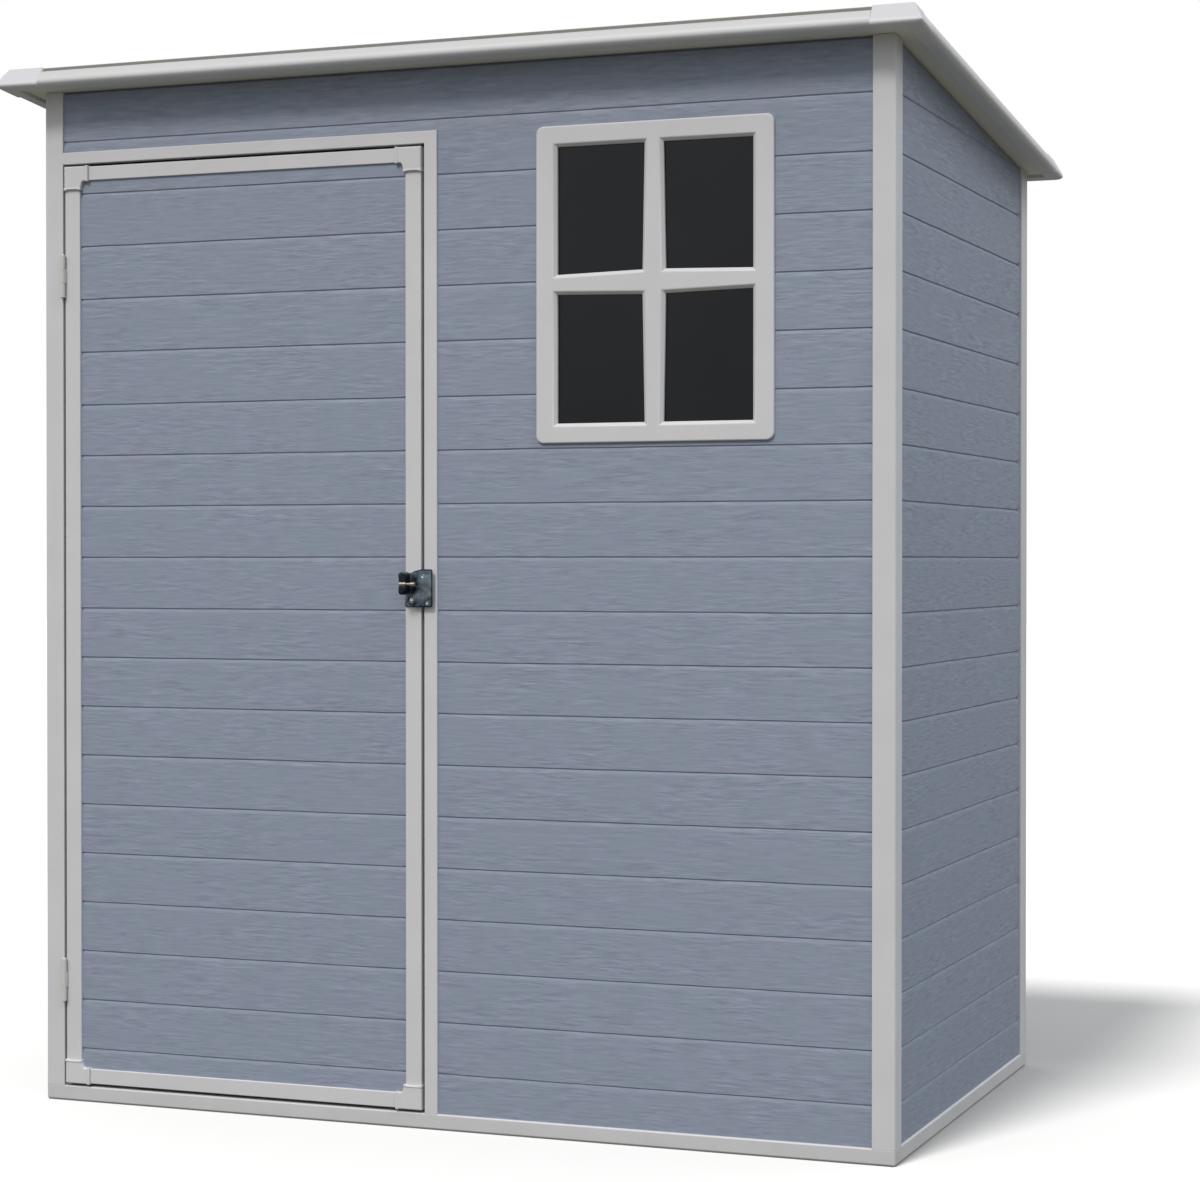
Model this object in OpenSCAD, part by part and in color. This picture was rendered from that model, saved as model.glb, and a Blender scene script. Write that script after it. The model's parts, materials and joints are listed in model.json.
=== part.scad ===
// Lean-to garden shed: planked panels between light corner posts on a low base,
// an outward door with a turn latch, a four-pane window and a roof that falls to the back.
// Millimetres, +Z up, front towards -Y, origin on the ground at the centre of the footprint.

/* [Shed] */
// Width over the corner posts
shed_w = 1707; // [1600:1:2000]
// Depth over the corner posts
shed_d = 1050; // [900:2:1400]
// Height of the front wall at its outer face
front_h = 1963; // [1940:1:2200]
// Fall of the roof towards the back, in degrees
roof_fall = 5.7; // [3:0.1:8]

/* [Base] */
// Height of the sills under the walls
sill_h = 30; // [24:1:50]
// Depth of the sills, outside to inside
sill_d = 42; // [30:1:70]
// Thickness of the floor panel between the sills
floor_t = 22; // [12:1:24]

/* [Walls] */
// Thickness of a wall panel
wall_t = 18; // [10:1:30]
// How far the panels sit back from the faces of the posts
panel_setback = 4; // [2:0.5:8]
// Front width of the post that carries the hinges
hinge_post_w = 40; // [32:1:60]
// Front width of the other posts
corner_post_w = 42; // [32:1:60]
// Width of a front post around the corner, on the side wall
post_return = 44; // [36:1:80]
// Width of a back post around the corner, on the side wall
back_return = 54; // [36:1:80]

/* [Doorway] */
// Gap around the closed door
door_gap = 6; // [5.5:0.5:9]
// Width of the jamb on the latch side
jamb_w = 26; // [18:1:50]
// Height of the lintel over the door
lintel_h = 23; // [15:1:40]
// Height of the planked band between the lintel and the roof
head_h = 119; // [60:1:300]

/* [Door] */
// Width of the door leaf
leaf_w = 759; // [650:1:820]
// Thickness of the door's frame
leaf_t = 26; // [24:1:32]
// Width of the stiles
stile_w = 32; // [28:1:50]
// Height of the top rail
top_rail_h = 27; // [20:1:45]
// Height of the bottom rail
bottom_rail_h = 29; // [20:1:45]
// Reach of a corner cap along the rail
door_cap_w = 52; // [38:1:70]
// Reach of a corner cap along the stile
door_cap_h = 46; // [40:1:80]
// How far the corner caps stand proud of the frame
door_cap_proud = 2.5; // [1:0.5:4]

/* [Hinges] */
// Height of a hinge
hinge_h = 82; // [60:1:120]
// Outer radius of the hinge knuckles
knuckle_r = 5.5; // [4.5:0.1:7]
// Radius of the hinge pin
pin_r = 3; // [2:0.1:3.5]
// Radial clearance of the hinge pin and of the latch spindle
pin_clear = 0.05; // [0.02:0.01:0.1]
// Thickness of the hinge leaves in the door gap
hinge_leaf_t = 1.8; // [1.2:0.1:2.2]
// Depth of the hinge leaves behind the pin
hinge_leaf_d = 25; // [15:1:28]
// Lower hinge, from the bottom of the door to its centre
hinge_rise = 200; // [120:5:400]
// Upper hinge, from the top of the door to its centre
hinge_drop = 211; // [120:5:400]

/* [Latch] */
// Height of the latch's centre above the bottom of the door
latch_rise = 965; // [800:5:1200]
// Height of the cover plate
latch_plate_h = 70; // [50:1:100]
// Reach of the cover plate over the jamb
latch_reach = 21; // [10:1:24]
// Distance of the cover plate from the face of the jamb
latch_stand_off = 7.5; // [6:0.5:12]
// Thickness of the latch's sheet
latch_sheet_t = 2.5; // [1.5:0.5:4]
// Height of the base on the stile
latch_base_h = 64; // [50:1:90]
// Width of the base on the stile
latch_base_w = 22; // [18:1:26]
// Radius of the turn's spindle
spindle_r = 4; // [3:0.5:5]
// Length of the turn across its wings
turn_l = 42; // [30:1:50]
// Width of the turn
turn_w = 19; // [14:1:20]
// Depth of the turn's grip
turn_d = 20; // [12:1:30]
// Radius of the turn's hub
turn_hub_r = 8; // [6:0.5:9]
// Height of the turn's axis above the latch's centre
turn_lift = 9; // [0:1:14]
// Clearance of the turn in front of the cover plate
turn_clear = 5.5; // [5:0.5:10]
// Rim of the washer that holds the spindle
washer_rim = 5; // [3:0.5:6]
// Thickness of that washer
washer_t = 3; // [2:0.5:5]

/* [Window] */
// Outer width of the window frame
window_w = 452; // [380:1:560]
// Outer height of the window frame
window_h = 574; // [420:1:700]
// How far the window sits to the right of the middle of its wall
window_shift = 10; // [-60:0.5:60]
// Distance of the window's top below the wall's top
window_drop = 125; // [60:1:200]
// Face width of the frame's border
window_border = 40; // [30:1:60]
// Width of the glazing bars
bar_w = 37; // [20:1:50]
// How far the frame stands proud of the wall panel
window_proud = 6; // [3:1:20]
// Radius of the frame's outer corners
window_corner_r = 14; // [5:1:30]
// Lap of the frame over the edge of its wall opening
window_lap = 20; // [10:1:26]
// Distance of the glazing behind the face of the wall panel
glass_inset = 5; // [2:0.5:8]
// Thickness of the glazing sheet
glass_t = 6; // [3:1:10]

/* [Roof] */
// Overhang past the front wall, along the slope
front_overhang = 72; // [60:1:150]
// Overhang past the back wall, along the slope
back_overhang = 50; // [40:1:150]
// Overhang past each side wall
side_overhang = 62; // [40:1:150]
// Thickness of the roof panel, whose edging ends level with its top
edge_h = 25; // [20:1:45]
// Depth of the edging
edge_d = 30; // [26:1:38]
// Lean of the edging's outer face towards the roof, in degrees
edge_lean = 30; // [10:1:35]
// Radius of the edging's nose, under that face
nose_r = 12; // [8:0.5:13]
// How far the edging hangs below the roof panel
edge_drop = 6; // [2:0.5:10]
// Thickness of the covering sheet on top
sheet_t = 8.5; // [5:0.5:12]
// Distance of the covering sheet from the edging's tip
sheet_setback = 20; // [17:1:24]
// Reach of a corner cap along the front and the back
roof_cap_w = 90; // [60:1:160]
// Reach of a corner cap along the sides
roof_cap_d = 70; // [60:1:160]
// How far the corner caps stand proud of the edging
roof_cap_proud = 0.5; // [0.5:0.5:3]

/* [Hidden] */
$fn = 64;

// Colours of the finishes
plank_colour = [0.50, 0.54, 0.61];
trim_colour = [0.75, 0.75, 0.76];
roof_colour = [0.45, 0.44, 0.43];
floor_colour = [0.40, 0.41, 0.42];
glass_colour = [0.15, 0.15, 0.17, 0.6];
hinge_colour = [0.66, 0.66, 0.66];
latch_colour = [0.36, 0.40, 0.43];

// Overshoot of a cut past the faces it opens
cut = 1;
// Running gap between the knuckles of a hinge, and behind a knuckle
knuckle_gap = 0.5;
// Clearance of the walls and posts under the roof
roof_seat_gap = 0.2;

// Faces of the walls
front_y = -shed_d / 2;
back_y = shed_d / 2;
left_x = -shed_w / 2;
right_x = shed_w / 2;
leg_t = wall_t + panel_setback;

// Door leaf and the frame around it
leaf_x = [left_x + hinge_post_w + door_gap, left_x + hinge_post_w + door_gap + leaf_w];
leaf_y = [front_y, front_y + leaf_t];
jamb_x = [leaf_x[1] + door_gap, leaf_x[1] + door_gap + jamb_w];
lintel_z = [front_h - head_h - lintel_h, front_h - head_h];
leaf_z = [sill_h + door_gap, lintel_z[0] - door_gap];
frame_y = [front_y, front_y + leg_t];
panel_y = [front_y + panel_setback, front_y + leg_t];

// Hinge axis, in front of the middle of the door gap
axis_x = leaf_x[0] - door_gap / 2;
axis_y = front_y - knuckle_r;
upper_hinge_z = leaf_z[1] - hinge_drop;
lower_hinge_z = leaf_z[0] + hinge_rise;
knuckle_h = hinge_h / 3;

// Latch on the stile
latch_z = leaf_z[0] + latch_rise;
latch_base_x = [leaf_x[1] - stile_w, leaf_x[1] - stile_w + latch_base_w];
latch_plate_x = [latch_base_x[1] - latch_sheet_t, jamb_x[0] + latch_reach];
latch_face_y = front_y - latch_stand_off - latch_sheet_t;
turn_x = (latch_base_x[0] + latch_plate_x[0]) / 2;
turn_y = latch_face_y - turn_clear;
turn_z = latch_z + turn_lift;
washer_r = spindle_r + washer_rim;
washer_gap = 0.3;

// Window and its opening in the wall
window_mid = (jamb_x[1] + right_x - corner_post_w) / 2 + window_shift;
window_x = [window_mid - window_w / 2, window_mid + window_w / 2];
window_z = [front_h - window_drop - window_h, front_h - window_drop];
opening_x = [window_x[0] + window_lap, window_x[1] - window_lap];
opening_z = [window_z[0] + window_lap, window_z[1] - window_lap];
pane_w = (window_w - 2 * window_border - bar_w) / 2;
pane_h = (window_h - 2 * window_border - bar_w) / 2;

// Roof in its own frame: u along the front, v down the slope from the front wall, w out of the roof
roof_l = shed_d / cos(roof_fall);
tip_u = right_x + side_overhang;
tip_v = [-front_overhang, roof_l + back_overhang];
inner_u = tip_u - edge_d;
inner_v = [tip_v[0] + edge_d, tip_v[1] - edge_d];
cap_top = edge_h + sheet_t + roof_cap_proud;

// Height of the wall tops under the roof, over a depth y
function under_roof(y) = front_h - (y - front_y) * tan(roof_fall) - roof_seat_gap;

// Box between pairs of limits
module slab(x, y, z) {
    translate([x[0], y[0], z[0]])
        cube([x[1] - x[0], y[1] - y[0], z[1] - z[0]]);
}

// Upright piece from a level z0 up to the sloping underside of the roof
module upright(x, y, z0) {
    translate([x[0], 0, 0])
        rotate([90, 0, 90])
            linear_extrude(x[1] - x[0])
                polygon([[y[0], z0], [y[1], z0], [y[1], under_roof(y[1])], [y[0], under_roof(y[0])]]);
}

// Corner post of L section on the right side, at the front or the back
module right_post(at_front, face_w) {
    face_y = at_front ? [front_y, front_y + leg_t] : [back_y - leg_t, back_y];
    side_y = at_front ? [front_y, front_y + post_return] : [back_y - back_return, back_y];
    color(trim_colour)
        union() {
            upright([right_x - face_w, right_x], face_y, sill_h);
            upright([right_x - leg_t, right_x], side_y, sill_h);
        }
}

module floor_panel() {
    color(floor_colour)
        slab([left_x + sill_d, right_x - sill_d], [front_y + sill_d, back_y - sill_d], [0, floor_t]);
}

module front_sill() {
    color(trim_colour)
        slab([left_x, right_x], [front_y, front_y + sill_d], [0, sill_h]);
}

module back_sill() {
    color(trim_colour)
        slab([left_x, right_x], [back_y - sill_d, back_y], [0, sill_h]);
}

module right_sill() {
    color(trim_colour)
        slab([right_x - sill_d, right_x], [front_y + sill_d, back_y - sill_d], [0, sill_h]);
}

module left_sill() {
    mirror([1, 0, 0])
        right_sill();
}

module front_left_post() {
    mirror([1, 0, 0])
        right_post(true, hinge_post_w);
}

module front_right_post() {
    right_post(true, corner_post_w);
}

module back_left_post() {
    mirror([1, 0, 0])
        right_post(false, corner_post_w);
}

module back_right_post() {
    right_post(false, corner_post_w);
}

module door_jamb() {
    color(trim_colour)
        slab(jamb_x, frame_y, [sill_h, lintel_z[0]]);
}

module door_lintel() {
    color(trim_colour)
        slab([left_x + hinge_post_w, jamb_x[1]], frame_y, lintel_z);
}

module wall_over_door() {
    color(plank_colour)
        upright([left_x + hinge_post_w, jamb_x[1]], panel_y, lintel_z[1]);
}

module front_wall() {
    color(plank_colour)
        difference() {
            upright([jamb_x[1], right_x - corner_post_w], panel_y, sill_h);
            slab(opening_x, [panel_y[0] - cut, panel_y[1] + cut], opening_z);
        }
}

module right_wall() {
    color(plank_colour)
        upright(
            [right_x - leg_t, right_x - panel_setback],
            [front_y + post_return, back_y - back_return],
            sill_h
        );
}

module left_wall() {
    mirror([1, 0, 0])
        right_wall();
}

module back_wall() {
    color(plank_colour)
        upright(
            [left_x + corner_post_w, right_x - corner_post_w],
            [back_y - leg_t, back_y - panel_setback],
            sill_h
        );
}

// Outline of the window frame with true round corners
module window_outline() {
    difference() {
        square([window_w, window_h]);
        for (mx = [0, 1], mz = [0, 1])
            translate([mx * window_w, mz * window_h])
                mirror([mx, 0])
                    mirror([0, mz])
                        difference() {
                            translate([-cut, -cut])
                                square(window_corner_r + cut);
                            translate([window_corner_r, window_corner_r])
                                circle(window_corner_r);
                        }
    }
}

// Four panes of the window, in its own plane
module window_panes() {
    for (i = [0, 1], j = [0, 1])
        translate([window_border + i * (pane_w + bar_w), window_border + j * (pane_h + bar_w)])
            square([pane_w, pane_h]);
}

module window_frame() {
    color(trim_colour)
        translate([window_x[0], panel_y[0], window_z[0]])
            rotate([90, 0, 0])
                union() {
                    linear_extrude(window_proud)
                        difference() {
                            window_outline();
                            window_panes();
                        }
                    translate([0, 0, -glass_inset])
                        linear_extrude(glass_inset)
                            difference() {
                                translate([window_lap, window_lap])
                                    square([window_w - 2 * window_lap, window_h - 2 * window_lap]);
                                window_panes();
                            }
                }
}

module window_glass() {
    glass_y = panel_y[0] + glass_inset;
    color(glass_colour)
        slab(opening_x, [glass_y, glass_y + glass_t], opening_z);
}

// Places a piece in the roof's own frame
module on_roof() {
    translate([0, front_y, front_h])
        rotate([-roof_fall, 0, 0])
            children();
}

// Section of the edging: out from the roof panel along x, up along y
module edge_section(proud, top) {
    low = -edge_drop - proud;
    nose = [edge_d + proud - nose_r, low + nose_r];
    touch = nose + nose_r * [cos(edge_lean), sin(edge_lean)];
    union() {
        translate(nose)
            circle(nose_r);
        polygon([
            [0, low],
            [nose[0], low],
            touch,
            [touch[0] - (top - touch[1]) * tan(edge_lean), top],
            [0, top]
        ]);
    }
}

// Length of edging along u, on the back side of v = at
module cross_edge(u, at, proud, top) {
    translate([u[0], at, 0])
        rotate([90, 0, 90])
            linear_extrude(u[1] - u[0])
                edge_section(proud, top);
}

// Length of edging along v, on the right side of the roof
module side_edge(v, proud, top) {
    translate([inner_u, v[1], 0])
        rotate([90, 0, 0])
            linear_extrude(v[1] - v[0])
                edge_section(proud, top);
}

// Moulded cap on a right-hand corner of the roof, turned to the back
module right_cap(at) {
    reach = edge_d + roof_cap_proud;
    cross_edge([tip_u - roof_cap_w, inner_u], at, roof_cap_proud, cap_top);
    side_edge([at - roof_cap_d + edge_d, at], roof_cap_proud, cap_top);
    intersection() {
        cross_edge([inner_u, inner_u + reach], at, roof_cap_proud, cap_top);
        side_edge([at, at + reach], roof_cap_proud, cap_top);
    }
}

// Turns a shape made for the back edge to the front edge
module to_front() {
    translate([0, inner_v[0], 0])
        mirror([0, 1, 0])
            children();
}

module roof_panel() {
    color(trim_colour)
        on_roof()
            slab([-inner_u, inner_u], inner_v, [0, edge_h]);
}

module roof_sheet() {
    reach_u = tip_u - sheet_setback;
    reach_v = [tip_v[0] + sheet_setback, tip_v[1] - sheet_setback];
    color(roof_colour)
        on_roof()
            difference() {
                slab([-reach_u, reach_u], reach_v, [edge_h, edge_h + sheet_t]);
                for (side = [0, 1])
                    mirror([side, 0, 0])
                        for (v = [[reach_v[0] - cut, inner_v[0]], [inner_v[1], reach_v[1] + cut]])
                            slab([tip_u - roof_cap_w, tip_u], v, [edge_h - cut, cap_top]);
                for (side = [0, 1])
                    mirror([side, 0, 0])
                        for (v = [[tip_v[0], tip_v[0] + roof_cap_d], [tip_v[1] - roof_cap_d, tip_v[1]]])
                            slab([inner_u, tip_u], v, [edge_h - cut, cap_top]);
            }
}

module front_roof_edge() {
    color(trim_colour)
        on_roof()
            to_front()
                cross_edge([roof_cap_w - tip_u, tip_u - roof_cap_w], 0, 0, edge_h);
}

module back_roof_edge() {
    color(trim_colour)
        on_roof()
            cross_edge([roof_cap_w - tip_u, tip_u - roof_cap_w], inner_v[1], 0, edge_h);
}

module right_roof_edge() {
    color(trim_colour)
        on_roof()
            side_edge([tip_v[0] + roof_cap_d, tip_v[1] - roof_cap_d], 0, edge_h);
}

module left_roof_edge() {
    mirror([1, 0, 0])
        right_roof_edge();
}

module back_right_roof_cap() {
    color(trim_colour)
        on_roof()
            right_cap(inner_v[1]);
}

module back_left_roof_cap() {
    mirror([1, 0, 0])
        back_right_roof_cap();
}

module front_right_roof_cap() {
    color(trim_colour)
        on_roof()
            to_front()
                right_cap(0);
}

module front_left_roof_cap() {
    mirror([1, 0, 0])
        front_right_roof_cap();
}

// Knuckle of a hinge between two levels
module knuckle(z) {
    translate([axis_x, axis_y, z[0]])
        cylinder(r = knuckle_r, h = z[1] - z[0]);
}

// Hinge leaf in the door gap from x0 to x1, with tabs to its knuckles
module hinge_leaf(x, mid_z, tabs) {
    back = axis_y + hinge_leaf_d;
    tab_y = axis_y + knuckle_r + knuckle_gap;
    slab(x, [tab_y, back], [mid_z - hinge_h / 2, mid_z + hinge_h / 2]);
    for (z = tabs)
        slab(x, [axis_y, tab_y], z);
}

// Half of a hinge that stands on the post, with the pin
module hinge_post_leaf(mid_z) {
    low = [mid_z - hinge_h / 2, mid_z - knuckle_h / 2 - knuckle_gap];
    high = [mid_z + knuckle_h / 2 + knuckle_gap, mid_z + hinge_h / 2];
    x = [left_x + hinge_post_w, left_x + hinge_post_w + hinge_leaf_t];
    color(hinge_colour)
        union() {
            hinge_leaf(x, mid_z, [low, high]);
            knuckle(low);
            knuckle(high);
            translate([axis_x, axis_y, low[0]])
                cylinder(r = pin_r, h = hinge_h);
        }
}

// Half of a hinge that moves with the door
module hinge_door_leaf(mid_z) {
    middle = [mid_z - knuckle_h / 2, mid_z + knuckle_h / 2];
    x = [leaf_x[0] - hinge_leaf_t, leaf_x[0]];
    color(hinge_colour)
        difference() {
            union() {
                hinge_leaf(x, mid_z, [middle]);
                knuckle(middle);
            }
            translate([axis_x, axis_y, middle[0] - cut])
                cylinder(r = pin_r + pin_clear, h = knuckle_h + 2 * cut);
        }
}

module upper_hinge_post_leaf() {
    hinge_post_leaf(upper_hinge_z);
}

module lower_hinge_post_leaf() {
    hinge_post_leaf(lower_hinge_z);
}

module upper_hinge_door_leaf() {
    hinge_door_leaf(upper_hinge_z);
}

module lower_hinge_door_leaf() {
    hinge_door_leaf(lower_hinge_z);
}

module door_panel() {
    color(plank_colour)
        slab(
            [leaf_x[0] + stile_w, leaf_x[1] - stile_w],
            panel_y,
            [leaf_z[0] + bottom_rail_h, leaf_z[1] - top_rail_h]
        );
}

// Stile between the corner caps, from x0 to x1
module stile(x) {
    slab(x, leaf_y, [leaf_z[0] + door_cap_h, leaf_z[1] - door_cap_h]);
}

module door_hinge_stile() {
    color(trim_colour)
        stile([leaf_x[0], leaf_x[0] + stile_w]);
}

module door_latch_stile() {
    color(trim_colour)
        difference() {
            stile([leaf_x[1] - stile_w, leaf_x[1]]);
            along_spindle(leaf_y[0] - cut, leaf_t + 2 * cut, spindle_r + pin_clear);
        }
}

module door_top_rail() {
    color(trim_colour)
        slab([leaf_x[0] + door_cap_w, leaf_x[1] - door_cap_w], leaf_y, [leaf_z[1] - top_rail_h, leaf_z[1]]);
}

module door_bottom_rail() {
    color(trim_colour)
        slab([leaf_x[0] + door_cap_w, leaf_x[1] - door_cap_w], leaf_y, [leaf_z[0], leaf_z[0] + bottom_rail_h]);
}

// Elbow of a corner cap: rail and stile arms, measured from the door's corner
module elbow(rail_h, lip) {
    difference() {
        square([door_cap_w, door_cap_h]);
        translate([stile_w + lip, rail_h + lip])
            square([door_cap_w, door_cap_h]);
    }
}

// Corner cap at the door's lower left corner: body between the profiles, and a proud face with a lip
module door_cap(rail_h) {
    color(trim_colour)
        rotate([90, 0, 0])
            union() {
                translate([0, 0, -leaf_t])
                    linear_extrude(leaf_t)
                        elbow(rail_h, 0);
                linear_extrude(door_cap_proud)
                    elbow(rail_h, door_cap_proud);
            }
}

// Places the corner cap at a corner of the door
module at_door_corner(latch_side, top) {
    translate([leaf_x[latch_side ? 1 : 0], front_y, leaf_z[top ? 1 : 0]])
        mirror([latch_side ? 1 : 0, 0, 0])
            mirror([0, 0, top ? 1 : 0])
                children();
}

module door_cap_top_hinge() {
    at_door_corner(false, true)
        door_cap(top_rail_h);
}

module door_cap_top_latch() {
    at_door_corner(true, true)
        door_cap(top_rail_h);
}

module door_cap_bottom_hinge() {
    at_door_corner(false, false)
        door_cap(bottom_rail_h);
}

module door_cap_bottom_latch() {
    at_door_corner(true, false)
        door_cap(bottom_rail_h);
}

// Round length along the latch's spindle, backwards from y0
module along_spindle(y0, length, r) {
    translate([turn_x, y0, turn_z])
        rotate([-90, 0, 0])
            cylinder(r = r, h = length);
}

// Folded latch sheet: base on the stile, step, and cover over the gap
module latch_plate() {
    plate_z = [latch_z - latch_plate_h / 2, latch_z + latch_plate_h / 2];
    base_z = [plate_z[0], plate_z[0] + latch_base_h];
    color(latch_colour)
        difference() {
            union() {
                slab(latch_base_x, [front_y - latch_sheet_t, front_y], base_z);
                slab([latch_plate_x[0], latch_base_x[1]], [latch_face_y, front_y], base_z);
                slab(latch_plate_x, [latch_face_y, latch_face_y + latch_sheet_t], plate_z);
            }
            along_spindle(front_y - latch_sheet_t - cut, latch_sheet_t + 2 * cut, spindle_r + pin_clear);
        }
}

// Turn with two wings on a spindle through the stile, held by a washer behind it
module latch_turn() {
    wing_r = turn_w / 2;
    color(latch_colour)
        union() {
            along_spindle(turn_y, leaf_y[1] + washer_gap - turn_y, spindle_r);
            along_spindle(leaf_y[1] + washer_gap, washer_t, washer_r);
            translate([turn_x, turn_y, turn_z])
                rotate([90, 0, 0])
                    linear_extrude(turn_d)
                        union() {
                            circle(turn_hub_r);
                            for (side = [-1, 1])
                                translate([0, side * (turn_l / 2 - wing_r)])
                                    circle(wing_r);
                        }
        }
}

floor_panel();
front_sill();
back_sill();
left_sill();
right_sill();
front_left_post();
front_right_post();
back_left_post();
back_right_post();
door_jamb();
door_lintel();
wall_over_door();
front_wall();
left_wall();
right_wall();
back_wall();
window_frame();
window_glass();
roof_panel();
roof_sheet();
front_roof_edge();
back_roof_edge();
left_roof_edge();
right_roof_edge();
front_left_roof_cap();
front_right_roof_cap();
back_left_roof_cap();
back_right_roof_cap();
upper_hinge_post_leaf();
lower_hinge_post_leaf();
door_panel();
door_hinge_stile();
door_latch_stile();
door_top_rail();
door_bottom_rail();
door_cap_top_hinge();
door_cap_top_latch();
door_cap_bottom_hinge();
door_cap_bottom_latch();
upper_hinge_door_leaf();
lower_hinge_door_leaf();
latch_plate();
latch_turn();
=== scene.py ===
"""Lean-to garden shed: the looks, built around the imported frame.

Planked resin panels between light profiles, an outward door with moulded corner caps and a
zinc turn latch, a four-pane window, and a roof with a nosed edge that falls to the back.
Metres, +Z up, front towards -Y.
"""

import json
import logging
import math
from collections.abc import Callable, Iterable
from dataclasses import dataclass
from enum import Enum
from typing import Any

import bmesh
import bpy
from bmesh.types import BMEdge, BMVert
from mathutils import Matrix, Vector, noise


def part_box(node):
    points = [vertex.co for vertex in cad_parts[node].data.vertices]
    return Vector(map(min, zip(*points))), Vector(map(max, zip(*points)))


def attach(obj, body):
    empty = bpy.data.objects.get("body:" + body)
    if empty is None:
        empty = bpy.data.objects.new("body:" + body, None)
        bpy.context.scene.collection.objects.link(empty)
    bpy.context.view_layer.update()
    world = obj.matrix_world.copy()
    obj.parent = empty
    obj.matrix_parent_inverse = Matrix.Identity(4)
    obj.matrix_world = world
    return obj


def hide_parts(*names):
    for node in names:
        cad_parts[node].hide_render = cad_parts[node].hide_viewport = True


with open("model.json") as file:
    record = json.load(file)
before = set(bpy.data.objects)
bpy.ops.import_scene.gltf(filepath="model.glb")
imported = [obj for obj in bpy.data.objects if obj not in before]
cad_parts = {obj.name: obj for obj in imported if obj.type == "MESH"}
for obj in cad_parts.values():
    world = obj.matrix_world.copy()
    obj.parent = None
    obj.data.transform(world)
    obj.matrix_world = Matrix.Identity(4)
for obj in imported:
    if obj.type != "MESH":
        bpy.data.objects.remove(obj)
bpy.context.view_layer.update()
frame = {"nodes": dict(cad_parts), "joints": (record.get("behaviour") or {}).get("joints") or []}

LOG = logging.getLogger("shed")
MM = 0.001
ACROSS = Vector((1.0, 0.0, 0.0))
INTO = Vector((0.0, 1.0, 0.0))
UP = Vector((0.0, 0.0, 1.0))
# Two places closer than this are one
TOUCH = 0.01 * MM
# Edges that turn more than this are shaded as edges
SHARP_ANGLE = math.radians(38)


class Body(Enum):
    """Bodies of the frame that pieces ride on."""

    SHED = "shed"
    DOOR = "door"
    LATCH = "latch"


class Slot(Enum):
    """Material slots of the record."""

    PLANK = "plank"
    TRIM = "trim"
    ROOF_SHEET = "roof_sheet"
    HINGE = "hinge"
    LATCH = "latch"


class Facing(Enum):
    """Outward directions of the walls."""

    FRONT = (0.0, -1.0, 0.0)
    BACK = (0.0, 1.0, 0.0)
    LEFT = (-1.0, 0.0, 0.0)
    RIGHT = (1.0, 0.0, 0.0)

    @property
    def normal(self) -> Vector:
        """Outward unit vector."""
        return Vector(self.value)

    @property
    def along(self) -> Vector:
        """Unit vector along the planks."""
        return Vector((abs(self.value[1]), abs(self.value[0]), 0.0))


def linear(hex_colour: str) -> tuple[float, float, float, float]:
    """Turn an sRGB hex colour into linear RGBA.

    Args:
        hex_colour: Colour such as "#868fa0".

    Returns:
        Linear red, green, blue and an alpha of 1.
    """
    channels = [int(hex_colour[i:i + 2], 16) / 255 for i in (1, 3, 5)]
    return (*[c / 12.92 if c <= 0.04045 else ((c + 0.055) / 1.055) ** 2.4 for c in channels], 1.0)


def add_node(tree: bpy.types.NodeTree, kind: str, inputs: dict[str | int, Any] | None = None,
             **settings: Any) -> bpy.types.Node:
    """Add a node with its settings and what feeds it.

    Args:
        tree: Node tree to add to.
        kind: Blender's type name of the node.
        inputs: Socket name or number, to a value or to the output that feeds it.
        **settings: Properties of the node itself.

    Returns:
        The new node.
    """
    node = tree.nodes.new(kind)
    for name, value in settings.items():
        setattr(node, name, value)
    for key, value in (inputs or {}).items():
        if isinstance(value, bpy.types.NodeSocket):
            tree.links.new(value, node.inputs[key])
        else:
            node.inputs[key].default_value = value
    return node


@dataclass(frozen=True)
class Finish:
    """A finish, named for its real material."""

    name: str

    def material(self) -> bpy.types.Material:
        """Return the finish's material, made on its first use."""
        made = bpy.data.materials.get(self.name)
        if made is None:
            made = bpy.data.materials.new(self.name)
            made.use_nodes = True
            self.paint(made.node_tree, made.node_tree.nodes["Principled BSDF"])
        return made

    def paint(self, tree: bpy.types.NodeTree, shader: bpy.types.Node) -> None:
        """Set the shader's sockets and add the nodes that feed it.

        Args:
            tree: The material's node tree.
            shader: Its Principled shader.
        """
        raise NotImplementedError


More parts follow.
